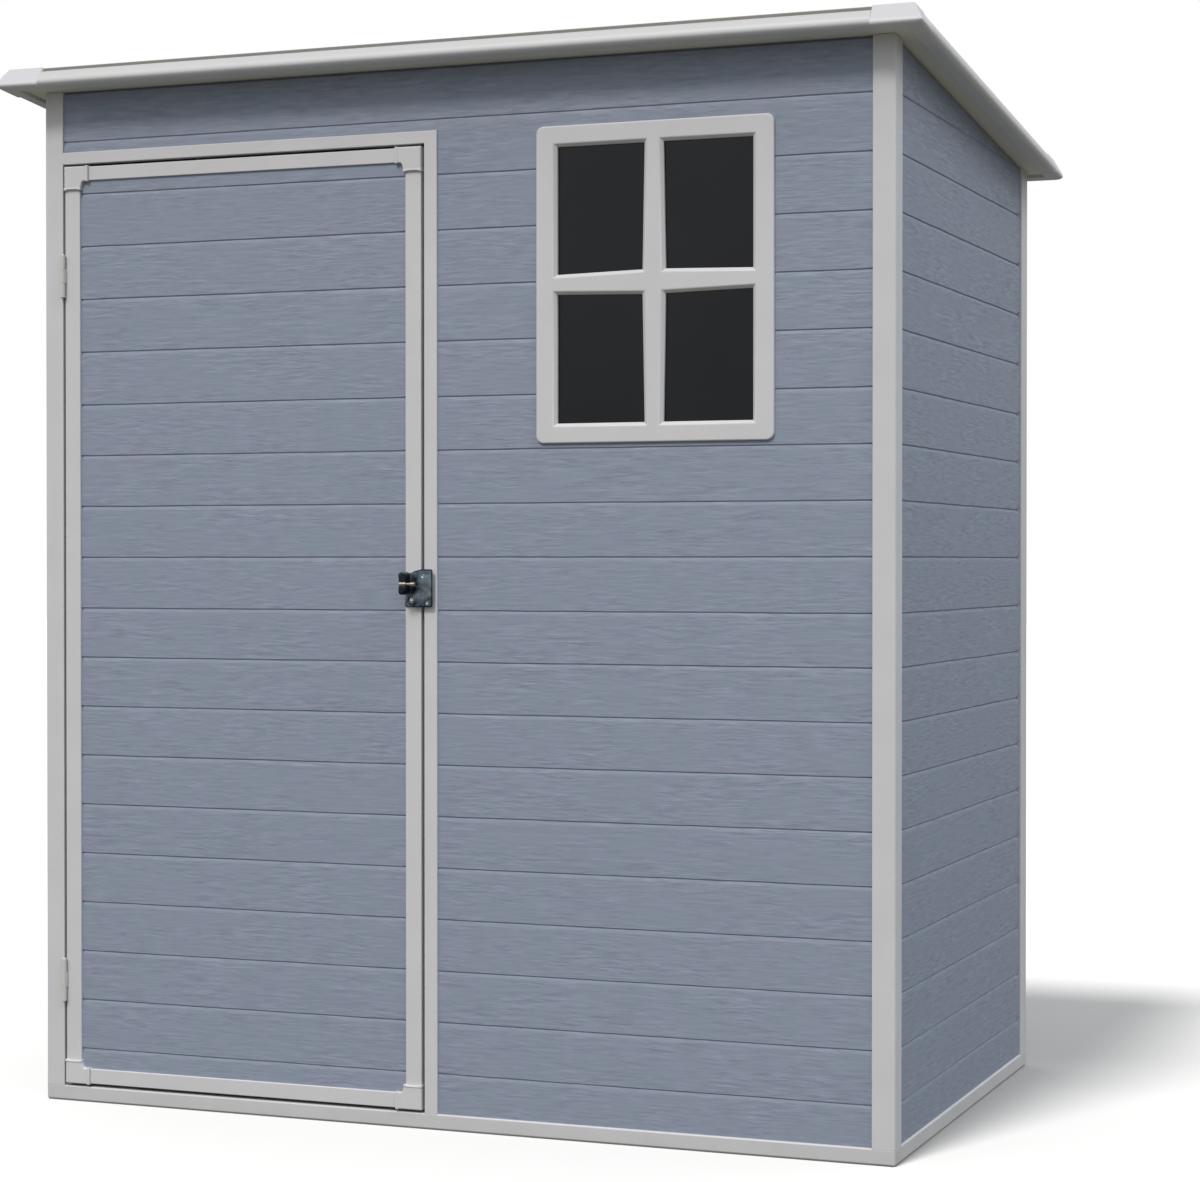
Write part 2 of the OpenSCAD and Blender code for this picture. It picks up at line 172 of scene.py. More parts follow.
@dataclass(frozen=True)
class PlankResin(Finish):
    """Moulded polypropylene planks, embossed with wood grain.

    The mould leaves fine level streaks that catch the light on a matt, slightly mottled blue grey.
    """

    name: str = "moulded_plank_resin"
    light: str = "#8f96a8"
    dark: str = "#777e8f"
    drift: str = "#7d8d99"
    streak_length: float = 44 * MM
    streak_height: float = 5.6 * MM
    sway_length: float = 95 * MM
    sway_height: float = 28 * MM
    sway: float = 8 * MM
    cluster_length: float = 140 * MM
    cluster_height: float = 32 * MM
    drift_size: float = 60 * MM
    # Steps in the noise from plank to plank, so that no two planks share their grain
    sway_step: float = 3.7
    streak_step: float = 5.3
    cluster_step: float = 2.9
    emboss: float = 1.2 * MM

    def paint(self, tree: bpy.types.NodeTree, shader: bpy.types.Node) -> None:
        """Paint level grain that differs from plank to plank and gathers in clusters."""
        place = add_node(tree, "ShaderNodeTexCoord").outputs["Object"]
        xyz = add_node(tree, "ShaderNodeSeparateXYZ", {0: place}).outputs
        plank = add_node(tree, "ShaderNodeAttribute", attribute_name="plank").outputs["Fac"]
        along = add_node(tree, "ShaderNodeMath", {0: xyz[0], 1: xyz[1]}, operation="ADD").outputs[0]
        level = add_node(tree, "ShaderNodeCombineXYZ", {0: along, 1: plank, 2: xyz[2]}).outputs[0]
        sway_place = add_node(tree, "ShaderNodeMapping", {
            "Vector": level,
            "Scale": (1 / self.sway_length, self.sway_step, 1 / self.sway_height)}).outputs[0]
        sway = add_node(tree, "ShaderNodeTexNoise", {
            "Vector": sway_place, "Scale": 1.0, "Detail": 2.0}).outputs[0]
        height = add_node(tree, "ShaderNodeMath", {0: sway, 1: self.sway, 2: xyz[2]},
                          operation="MULTIPLY_ADD").outputs[0]
        swayed = add_node(tree, "ShaderNodeCombineXYZ", {0: along, 1: plank, 2: height}).outputs[0]
        streak_place = add_node(tree, "ShaderNodeMapping", {
            "Vector": swayed,
            "Scale": (1 / self.streak_length, self.streak_step, 1 / self.streak_height)}).outputs[0]
        streak = add_node(tree, "ShaderNodeTexNoise", {
            "Vector": streak_place, "Scale": 1.0, "Detail": 3.0, "Roughness": 0.55}).outputs[0]
        cluster_place = add_node(tree, "ShaderNodeMapping", {
            "Vector": level,
            "Scale": (1 / self.cluster_length, self.cluster_step, 1 / self.cluster_height)}).outputs[0]
        cluster = add_node(tree, "ShaderNodeTexNoise", {
            "Vector": cluster_place, "Scale": 1.0, "Detail": 1.0}).outputs[0]
        weight = add_node(tree, "ShaderNodeMapRange", {
            "Value": cluster, "From Min": 0.35, "From Max": 0.65, "To Min": 0.35, "To Max": 1.0}).outputs[0]
        swing = add_node(tree, "ShaderNodeMath", {0: streak, 1: 0.5}, operation="SUBTRACT").outputs[0]
        relief = add_node(tree, "ShaderNodeMath", {0: swing, 1: weight}, operation="MULTIPLY").outputs[0]
        blend = add_node(tree, "ShaderNodeMapRange", {
            "Value": relief, "From Min": -0.22, "From Max": 0.22}).outputs[0]
        grain = add_node(tree, "ShaderNodeMix", {
            0: blend, 6: linear(self.dark), 7: linear(self.light)}, data_type="RGBA").outputs[2]
        drift = add_node(tree, "ShaderNodeTexNoise", {
            "Vector": level, "Scale": 1 / self.drift_size, "Detail": 2.0}).outputs[0]
        share = add_node(tree, "ShaderNodeMapRange", {
            "Value": drift, "From Min": 0.4, "From Max": 0.7, "To Max": 0.45}).outputs[0]
        colour = add_node(tree, "ShaderNodeMix", {
            0: share, 6: grain, 7: linear(self.drift)}, data_type="RGBA").outputs[2]
        rough = add_node(tree, "ShaderNodeMapRange", {
            "Value": relief, "From Min": -0.2, "From Max": 0.2, "To Min": 0.66, "To Max": 0.5}).outputs[0]
        bump = add_node(tree, "ShaderNodeBump", {
            "Height": relief, "Strength": 0.8, "Distance": self.emboss}).outputs[0]
        tree.links.new(colour, shader.inputs["Base Color"])
        tree.links.new(rough, shader.inputs["Roughness"])
        tree.links.new(bump, shader.inputs["Normal"])
        shader.inputs["IOR"].default_value = 1.49


@dataclass(frozen=True)
class SatinProfile(Finish):
    """Smooth light resin or coated profile: satin, with a faint cloudiness and fine orange peel."""

    name: str = "satin_grey_profile"
    light: str = "#c8c8ca"
    dark: str = "#bfbec1"
    cloud_size: float = 90 * MM
    peel_size: float = 2.5 * MM
    peel: float = 0.06 * MM
    smooth: float = 0.4
    matt: float = 0.52

    def paint(self, tree: bpy.types.NodeTree, shader: bpy.types.Node) -> None:
        """Paint a cloudy satin grey."""
        place = add_node(tree, "ShaderNodeTexCoord").outputs["Object"]
        cloud = add_node(tree, "ShaderNodeTexNoise", {
            "Vector": place, "Scale": 1 / self.cloud_size, "Detail": 4.0}).outputs[0]
        peel = add_node(tree, "ShaderNodeTexNoise", {
            "Vector": place, "Scale": 1 / self.peel_size, "Detail": 2.0}).outputs[0]
        colour = add_node(tree, "ShaderNodeMix", {
            0: cloud, 6: linear(self.dark), 7: linear(self.light)}, data_type="RGBA").outputs[2]
        rough = add_node(tree, "ShaderNodeMapRange", {
            "Value": cloud, "To Min": self.smooth, "To Max": self.matt}).outputs[0]
        bump = add_node(tree, "ShaderNodeBump", {
            "Height": peel, "Strength": 0.5, "Distance": self.peel}).outputs[0]
        tree.links.new(colour, shader.inputs["Base Color"])
        tree.links.new(rough, shader.inputs["Roughness"])
        tree.links.new(bump, shader.inputs["Normal"])
        shader.inputs["IOR"].default_value = 1.5


@dataclass(frozen=True)
class TopShadedProfile(SatinProfile):
    """Satin profile, light in front and greyed where it faces the sky, the grey being painted shade."""

    name: str = "top_shaded_roof_profile"
    light: str = "#d8d8da"
    dark: str = "#cecdcf"
    # Grey of the painted shade on faces that look up
    top_shade: str = "#a2a1a1"
    # Upward part of the direction a face looks in, where the painted shade starts and where it is full
    top_shade_from: float = -0.1
    top_shade_to: float = 0.75

    def paint(self, tree: bpy.types.NodeTree, shader: bpy.types.Node) -> None:
        """Paint the satin grey, then lay painted shade over what faces up."""
        super().paint(tree, shader)
        unshaded = shader.inputs["Base Color"].links[0].from_socket
        # Painted shade: the more a face looks up, the more its colour goes to the grey
        facing = add_node(tree, "ShaderNodeNewGeometry").outputs["Normal"]
        upward = add_node(tree, "ShaderNodeSeparateXYZ", {0: facing}).outputs[2]
        share = add_node(tree, "ShaderNodeMapRange", {
            "Value": upward, "From Min": self.top_shade_from, "From Max": self.top_shade_to}).outputs[0]
        colour = add_node(tree, "ShaderNodeMix", {
            0: share, 6: unshaded, 7: linear(self.top_shade)}, data_type="RGBA").outputs[2]
        tree.links.new(colour, shader.inputs["Base Color"])


@dataclass(frozen=True)
class SmokedGlazing(Finish):
    """Smoked acrylic sheet: a dark glossy pane that lets little of the room through."""

    name: str = "smoked_acrylic"
    deep: str = "#3d3e42"
    pale: str = "#666774"
    cloud_size: float = 300 * MM
    smear_size: float = 60 * MM

    def paint(self, tree: bpy.types.NodeTree, shader: bpy.types.Node) -> None:
        """Paint a dark clear sheet, clouded broadly paler in places as painted reflection, with a faint smear
        of roughness.
        """
        place = add_node(tree, "ShaderNodeTexCoord").outputs["Object"]
        cloud = add_node(tree, "ShaderNodeTexNoise", {
            "Vector": place, "Scale": 1 / self.cloud_size, "Detail": 1.0}).outputs[0]
        share = add_node(tree, "ShaderNodeMapRange", {
            "Value": cloud, "From Min": 0.35, "From Max": 0.65}).outputs[0]
        # Painted reflection: broad pale clouds in the tint lighten parts of the panes
        tint = add_node(tree, "ShaderNodeMix", {
            0: share, 6: linear(self.deep), 7: linear(self.pale)}, data_type="RGBA").outputs[2]
        smear = add_node(tree, "ShaderNodeTexNoise", {
            "Vector": place, "Scale": 1 / self.smear_size, "Detail": 3.0}).outputs[0]
        rough = add_node(tree, "ShaderNodeMapRange", {
            "Value": smear, "To Min": 0.02, "To Max": 0.08}).outputs[0]
        tree.links.new(rough, shader.inputs["Roughness"])
        tree.links.new(tint, shader.inputs["Base Color"])
        shader.inputs["IOR"].default_value = 1.49
        shader.inputs["Specular IOR Level"].default_value = 0.15
        shader.inputs["Transmission Weight"].default_value = 1.0


@dataclass(frozen=True)
class ZincSteel(Finish):
    """Zinc-plated pressed steel, passivated: slate-blue metal with dark clouds and straw blooms, partly the
    plating's own colour and partly painted reflection and glint.
    """

    name: str = "blue_zinc_steel"
    dark: str = "#2c3642"
    blue: str = "#a2b4c2"
    straw: str = "#b5aa86"
    patch_and_sheen_size: float = 26 * MM
    straw_size: float = 16 * MM
    scratch_size: float = 1.2 * MM
    smooth: float = 0.22
    matt: float = 0.42

    def paint(self, tree: bpy.types.NodeTree, shader: bpy.types.Node) -> None:
        """Paint patchy plated metal, the patches partly painted reflection."""
        place = add_node(tree, "ShaderNodeTexCoord").outputs["Object"]
        # Dark and light clouds: partly the plating's colour, partly painted reflection
        plating_and_sheen_patch = add_node(tree, "ShaderNodeTexNoise", {
            "Vector": place, "Scale": 1 / self.patch_and_sheen_size, "Detail": 2.0, "Distortion": 0.6}).outputs[0]
        blend = add_node(tree, "ShaderNodeMapRange", {
            "Value": plating_and_sheen_patch, "From Min": 0.35, "From Max": 0.65}).outputs[0]
        plating_and_sheen = add_node(tree, "ShaderNodeMix", {
            0: blend, 6: linear(self.dark), 7: linear(self.blue)}, data_type="RGBA").outputs[2]
        # Straw blooms: partly passivation colour, partly painted glint
        straw_bloom_and_glint = add_node(tree, "ShaderNodeTexNoise", {
            "Vector": place, "Scale": 1 / self.straw_size, "Detail": 2.0}).outputs[0]
        share = add_node(tree, "ShaderNodeMapRange", {
            "Value": straw_bloom_and_glint, "From Min": 0.52, "From Max": 0.8, "To Max": 0.55}).outputs[0]
        colour = add_node(tree, "ShaderNodeMix", {
            0: share, 6: plating_and_sheen, 7: linear(self.straw)}, data_type="RGBA").outputs[2]
        scratch = add_node(tree, "ShaderNodeTexNoise", {
            "Vector": place, "Scale": 1 / self.scratch_size, "Detail": 2.0}).outputs[0]
        rough = add_node(tree, "ShaderNodeMapRange", {
            "Value": scratch, "To Min": self.smooth, "To Max": self.matt}).outputs[0]
        tree.links.new(colour, shader.inputs["Base Color"])
        tree.links.new(rough, shader.inputs["Roughness"])
        shader.inputs["Metallic"].default_value = 1.0


# Blue-grey matt planks with level grain
PLANK_RESIN = PlankResin()
# Light warm grey of posts, stiles and rails
PROFILE = SatinProfile()
# The same grey on moulded caps, a touch more even
MOULDED_CAP = SatinProfile("moulded_grey_cap", "#c8c8ca", "#c0c0c2")
# Darker and cloudier than the other profiles: painted shade for the sills near the ground
SILL = SatinProfile("shade_darkened_sill_profile", "#c3c3c5", "#b6b6b8")
# Bright front over a top greyed with painted shade along the roof's edge
ROOF_PROFILE = TopShadedProfile()
ROOF_CAP = TopShadedProfile("top_shaded_roof_cap", "#d9d9dd", "#cfcfd3", top_shade="#a6a6a8")
# Pale matt underside of the roof
SOFFIT = SatinProfile("grey_roof_panel", "#e6e5dc", "#dddcd3", smooth=0.5, matt=0.6)
# Rough blotchy grey of the roof's covering
ROOF_COVER = SatinProfile("weathered_roof_sheet", "#7d7974", "#68645f",
                          cloud_size=35 * MM, peel_size=3 * MM, peel=0.5 * MM, smooth=0.6, matt=0.8)
# Dark pebbled floor inside
FLOOR_RESIN = SatinProfile("dark_floor_resin", "#6e7072", "#5f6163",
                           cloud_size=60 * MM, peel_size=4 * MM, peel=0.3 * MM, smooth=0.5, matt=0.65)
# Thin light paint on the hinges
HINGE_STEEL = SatinProfile("painted_hinge_steel", "#c3c3bf", "#b9b9b5",
                           cloud_size=12 * MM, peel_size=1.5 * MM, peel=0.05 * MM, smooth=0.4, matt=0.5)
# Dark panes, paler in broad clouds as painted reflection
GLAZING = SmokedGlazing()
# Cloudy slate blue of the latch's plate, its clouds partly painted reflection; almost black on its turn, and
# on its margin as painted dark reflection
LATCH_ZINC = ZincSteel()
DARK_ZINC_AND_REFLECTION = ZincSteel("dark_zinc_turn_and_reflection", "#171c25", "#4c5763", "#5d594c")
# Straw-coloured pin and bright screw heads, which glint against the plate
STRAW_ZINC = ZincSteel("straw_zinc_pin", "#7d786a", "#b9b5a9", "#c9c3b0", smooth=0.3, matt=0.45)
SCREW_ZINC = ZincSteel("bright_zinc_screw", "#c9ced2", "#e6e9ea", "#e8e2cc", smooth=0.15, matt=0.28)


def extent(edge: BMEdge) -> Vector:
    """Return how far an edge runs along each axis."""
    return Vector(abs(part) for part in edge.verts[1].co - edge.verts[0].co)


class Shape:
    def __init__(self) -> None:
        """Start an empty mesh."""
        self.bm = bmesh.new()

    def box(self, low: Vector, high: Vector) -> list[BMVert]:
        """Add a box.

        Args:
            low: Lowest corner.
            high: Highest corner.

        Returns:
            The box's vertices.
        """
        verts = bmesh.ops.create_cube(self.bm, size=1.0)["verts"]
        place = Matrix.Translation((low + high) / 2) @ Matrix.Diagonal((*(high - low), 1.0))
        bmesh.ops.transform(self.bm, matrix=place, verts=verts)
        return verts

    def prism(self, outline: Iterable[Vector], along: Vector) -> list[BMVert]:
        """Extrude a closed outline.

        Args:
            outline: Corners of the outline, in order.
            along: Direction and length of the extrusion.

        Returns:
            The prism's vertices.
        """
        face = self.bm.faces.new([self.bm.verts.new(point) for point in outline])
        near = list(face.verts)
        grown = bmesh.ops.extrude_face_region(self.bm, geom=[face])["geom"]
        far = [item for item in grown if isinstance(item, BMVert)]
        bmesh.ops.translate(self.bm, vec=along, verts=far)
        return near + far

    def ring(self, outer: Iterable[Vector], inner: Iterable[Vector]) -> None:
        """Add a flat ring between two closed outlines of as many corners.

        Args:
            outer: Corners of the outer outline, in order.
            inner: Corners of the inner outline, in order.
        """
        loops: list[BMEdge] = []
        for outline in (outer, inner):
            verts = [self.bm.verts.new(point) for point in outline]
            loops += [self.bm.edges.new((verts[i - 1], verts[i])) for i in range(len(verts))]
        bmesh.ops.bridge_loops(self.bm, edges=loops)

    def thicken(self, along: Vector) -> None:
        """Extrude all that is flat so far into a solid."""
        bmesh.ops.remove_doubles(self.bm, verts=self.bm.verts[:], dist=TOUCH)
        grown = bmesh.ops.extrude_face_region(self.bm, geom=self.bm.faces[:])["geom"]
        bmesh.ops.translate(self.bm, vec=along, verts=[item for item in grown if isinstance(item, BMVert)])
        bmesh.ops.recalc_face_normals(self.bm, faces=self.bm.faces[:])

    def rod(self, start: Vector, end: Vector, radius: float, tip: float | None = None,
            sides: int = 32) -> list[BMVert]:
        """Add a round rod or a cone.

        Args:
            start: Centre of its first end.
            end: Centre of its other end.
            radius: Radius at the first end.
            tip: Radius at the other end, if it differs.
            sides: Number of sides.

        Returns:
            The rod's vertices.
        """
        axis = end - start
        place = Matrix.Translation((start + end) / 2) @ axis.to_track_quat("Z", "Y").to_matrix().to_4x4()
        return bmesh.ops.create_cone(
            self.bm, cap_ends=True, segments=sides, radius1=radius,
            radius2=radius if tip is None else tip, depth=axis.length, matrix=place)["verts"]

    def slice(self, point: Vector, normal: Vector, clear: bool = False) -> None:
        """Cut the mesh along a plane.

        Args:
            point: A point of the plane.
            normal: The plane's direction.
            clear: Whether to drop what lies beyond the plane and close the cut.
        """
        bm = self.bm
        cut = bmesh.ops.bisect_plane(
            bm, geom=bm.verts[:] + bm.edges[:] + bm.faces[:], dist=TOUCH,
            plane_co=point, plane_no=normal, clear_outer=clear)["geom_cut"]
        if clear:
            bmesh.ops.edgeloop_fill(bm, edges=[item for item in cut if isinstance(item, BMEdge)])

    def edges(self, test: Callable[[Vector], bool]) -> list[BMEdge]:
        """Return the edges whose two ends both pass a test of their place."""
        return [edge for edge in self.bm.edges if all(test(vert.co) for vert in edge.verts)]

    def sharp_edges(self, among: Iterable[BMEdge] | None = None) -> list[BMEdge]:
        """Return the edges that turn sharply, of all edges or of those given."""
        self.bm.normal_update()
        return [edge for edge in (self.bm.edges if among is None else among)
                if len(edge.link_faces) == 2 and edge.calc_face_angle() > SHARP_ANGLE]

    def sharp_at(self, test: Callable[[Vector], bool]) -> list[BMEdge]:
        """Return the sharp edges whose two ends both pass a test of their place."""
        return self.sharp_edges(self.edges(test))

    def bevel(self, edges: Iterable[BMEdge], width: float, segments: int = 3, mitre: bool = False) -> None:
        """Round edges.

        Args:
            edges: Edges to round.
            width: Width of the rounding along the faces.
            segments: Number of steps.
            mitre: Whether roundings that meet do so along the edge between them.
        """
        bmesh.ops.bevel(self.bm, geom=list(edges), offset=width, offset_type="OFFSET", affect="EDGES",
                        segments=segments, profile=0.5, material=-1, loop_slide=mitre)

    def round(self, width: float, segments: int = 3, keep: Callable[[Vector], bool] | None = None) -> None:
        """Round every edge that is still sharp.

        Args:
            width: Width of the rounding.
            segments: Number of steps.
            keep: Test of a place; an edge with both ends there stays sharp.
        """
        kept = set(self.edges(keep)) if keep else set()
        self.bevel([edge for edge in self.sharp_edges() if edge not in kept], width, segments)

    def finish(self, name: str, finish: Finish, body: Body, slot: Slot, *nodes: str,
               rim: Finish | None = None) -> None:
        """Turn the mesh into a piece of the shed.

        Args:
            name: The piece's name.
            finish: Its finish.
            body: Body that it rides on.
            slot: Material slot of the record; not used.
            *nodes: Nodes that it stands for.
            rim: Finish of the faces that were given the second material, which on the latch plate is its
                margin's painted dark reflection.
        """
        bmesh.ops.remove_doubles(self.bm, verts=self.bm.verts[:], dist=TOUCH)
        bmesh.ops.recalc_face_normals(self.bm, faces=self.bm.faces[:])
        for face in self.bm.faces:
            face.smooth = True
        mesh = bpy.data.meshes.new(name)
        self.bm.to_mesh(mesh)
        self.bm.free()
        mesh.set_sharp_from_angle(angle=SHARP_ANGLE)
        for coat in (finish, rim):
            if coat:
                mesh.materials.append(coat.material())
        piece = bpy.data.objects.new(name, mesh)
        bpy.context.scene.collection.objects.link(piece)
        piece.modifiers.new("even_normals", "WEIGHTED_NORMAL").keep_sharp = True
        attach(piece, body.value)
        if nodes:
            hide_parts(*nodes)
        LOG.info("%s: %d faces, rides on %s", name, len(mesh.polygons), body.value)


def dress(node: str, finish: Finish) -> None:
    """Give a plain node of the frame its finish."""
    materials = frame["nodes"][node].data.materials
    materials.clear()
    materials.append(finish.material())
    LOG.info("%s: dressed in %s", node, finish.name)


@dataclass
class RoofPlane:
    """The sloping underside of the roof, and the roof's own frame on it."""

    fall: float = math.radians(5.7)
    seat_gap: float = 0.2 * MM

    def __post_init__(self) -> None:
        """Find the plane from the top of a front post."""
        low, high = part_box("front_right_post")
        self.wall_top = Vector((0.0, low.y, high.z))
        self.matrix = (Matrix.Translation(self.wall_top + UP * self.seat_gap)
                       @ Matrix.Rotation(-self.fall, 4, "X"))
        self.normal = self.matrix.to_3x3() @ UP

    def box(self, node: str) -> tuple[Vector, Vector]:
        """Return a node's lowest and highest corners in the roof's own frame."""
        inverse = self.matrix.inverted()
        points = [inverse @ vert.co for vert in frame["nodes"][node].data.vertices]
        return (Vector(min(p[i] for p in points) for i in range(3)),
                Vector(max(p[i] for p in points) for i in range(3)))


@dataclass(frozen=True)
class PlankLayout:
    """Levels of the grooves between planks, the same all round the shed."""

    first: float = 102.9 * MM
    # Number of planks and their pitch, from the bottom up
    runs: tuple[tuple[int, float], ...] = ((9, 95.1 * MM), (4, 98.5 * MM), (5, 102.2 * MM))

    def levels(self) -> list[float]:
        """Return the height of every groove."""
        levels = [self.first]
        for count, pitch in self.runs:
            levels += [levels[-1] + pitch * (i + 1) for i in range(count)]
        return levels


@dataclass(frozen=True)
class Notch:
    """Hole where a groove runs into the profile at its end."""

    reach: float = 5 * MM
    depth: float = 5 * MM
    rise: float = 0.0
    # At both ends of the groove, or only at its last one
    both: bool = True


# Larger holes at the back ends of the side walls' grooves
SIDE_NOTCH = Notch(26 * MM, 14 * MM, 6 * MM, both=False)


@dataclass
class PlankPanel:
    """A planked panel, grooved between its planks on the outer face."""

    nodes: tuple[str, ...]
    name: str
    facing: Facing
    roof: RoofPlane
    body: Body = Body.SHED
    opening: tuple[Vector, Vector] | None = None
    notch: Notch = Notch()
    # Section of a groove: a short lip above it, a steep ledge and then a long slope below it
    groove_depth: float = 2.1 * MM
    lip_above: float = 3.1 * MM
    ledge: float = 1.2 * MM
    ledge_depth: float = 1.05 * MM
    lip_below: float = 8.0 * MM
    lip_round: float = 0.7 * MM
    # Chamfer under the roof
    top_drop: float = 6 * MM
    top_depth: float = 9 * MM
    # Lips waver a little from column to column of the mesh
    column: float = 30 * MM
    wave_length: float = 70 * MM
    wave: float = 0.6 * MM

    def build(self) -> None:
        """Build the panel."""
        boxes = [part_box(node) for node in self.nodes]
        low = Vector(min(corner[0][i] for corner in boxes) for i in range(3))
        high = Vector(max(corner[1][i] for corner in boxes) for i in range(3))
        grooves = [z for z in PlankLayout().levels()
                   if low.z + self.lip_below < z < high.z - self.lip_above]
        shape = Shape()
        for corner in boxes:
            shape.box(*corner)
        if len(boxes) > 1:
            self.join(shape, boxes[1])
        self.slice_all(shape, low, high, grooves)
        outer = max(low.dot(self.facing.normal), high.dot(self.facing.normal))
        self.sink_grooves(shape, outer, grooves, low.dot(self.facing.along), high.dot(self.facing.along))
        if self.opening:
            self.cut_opening(shape, *self.opening)
        if self.body is Body.SHED:
            self.trim_top(shape, outer)
        planks = shape.bm.faces.layers.float.new("plank")
        for face in shape.bm.faces:
            face[planks] = sum(z < face.calc_center_median().z for z in grooves)
        shape.finish(self.name, PLANK_RESIN, self.body, Slot.PLANK, *self.nodes)

    @staticmethod
    def join(shape: Shape, short: tuple[Vector, Vector]) -> None:
        """Weld the shorter of two boxes, level at the top, to the left side of the taller one."""
        seam = short[1].x
        shape.slice(UP * short[0].z, UP)
        shared = [face for face in shape.bm.faces
                  if all(abs(vert.co.x - seam) < TOUCH for vert in face.verts)
                  and face.calc_center_median().z > short[0].z]
        bmesh.ops.delete(shape.bm, geom=shared, context="FACES")
        bmesh.ops.remove_doubles(shape.bm, verts=shape.bm.verts[:], dist=TOUCH)

    def slice_all(self, shape: Shape, low: Vector, high: Vector, grooves: list[float]) -> None:
        """Divide the panel into columns and cut the lines of each groove."""
        along = self.facing.along
        start, end = low.dot(along), high.dot(along)
        columns = max(2, round((end - start) / self.column))
        places = [start + (end - start) * i / columns for i in range(1, columns)]
        for place in (start + self.notch.reach, *places, end - self.notch.reach):
            shape.slice(along * place, along)
        for z in grooves:
            for level in (z - self.lip_below, z - self.ledge, z, z + self.lip_above):
                shape.slice(UP * level, UP)

    def sink_grooves(self, shape: Shape, outer: float, grooves: list[float],
                     start: float, end: float) -> None:
        """Push the lines of each groove inwards, most at its ends, and make its lips uneven.

        Args:
            shape: The panel.
            outer: Place of the outer face along the panel's normal.
            grooves: Levels of the grooves.
            start: Place where the grooves start.
            end: Place where they end.
        """
        normal = self.facing.normal
        lips = set()
        for vert in shape.bm.verts:
            if vert.co.dot(normal) < outer - TOUCH:
                continue
            groove = min(grooves, key=lambda z: abs(z - vert.co.z))
            offset = vert.co.z - groove
            if not -self.lip_below - TOUCH < offset < self.lip_above + TOUCH:
                continue
            place = vert.co.dot(self.facing.along)
            waver = Vector((place / self.wave_length, groove / self.wave_length, offset / self.lip_below))
            vert.co.z += self.wave * noise.noise(waver)
            at_end = place > end - TOUCH or (self.notch.both and place < start + TOUCH)
            if abs(offset) < TOUCH:
                vert.co -= normal * (self.notch.depth if at_end else self.groove_depth)
            elif abs(offset + self.ledge) < TOUCH:
                vert.co -= normal * (self.notch.depth / 2 if at_end else self.ledge_depth)
            elif offset > 0:
                lips.add(vert)
                vert.co.z += self.notch.rise if at_end else 0.0
        rims = [edge for edge in shape.bm.edges
                if lips.issuperset(edge.verts) and extent(edge).z < 2 * self.wave]
        shape.bevel(rims, self.lip_round, 2)

    def trim_top(self, shape: Shape, outer: float) -> None:
        """Cut the panel along the roof and chamfer its outer edge there."""
        top, slope, normal = self.roof.wall_top, self.roof.normal, self.facing.normal
        shape.slice(top - slope * self.top_drop, slope)
        shape.slice(top, slope, clear=True)
        for vert in shape.bm.verts:
            if (vert.co - top).dot(slope) > -TOUCH and vert.co.dot(normal) > outer - self.top_depth:
                vert.co -= normal * self.top_depth

    @staticmethod
    def cut_opening(shape: Shape, low: Vector, high: Vector) -> None:
        """Cut a rectangular opening through the panel and close its sides."""
        for x in (low.x, high.x):
            shape.slice(ACROSS * x, ACROSS)
        for z in (low.z, high.z):
            shape.slice(UP * z, UP)
        inside = [face for face in shape.bm.faces
                  if low.x < face.calc_center_median().x < high.x
                  and low.z < face.calc_center_median().z < high.z]
        bmesh.ops.delete(shape.bm, geom=inside, context="FACES")
        bmesh.ops.bridge_loops(shape.bm, edges=[edge for edge in shape.bm.edges if edge.is_boundary])


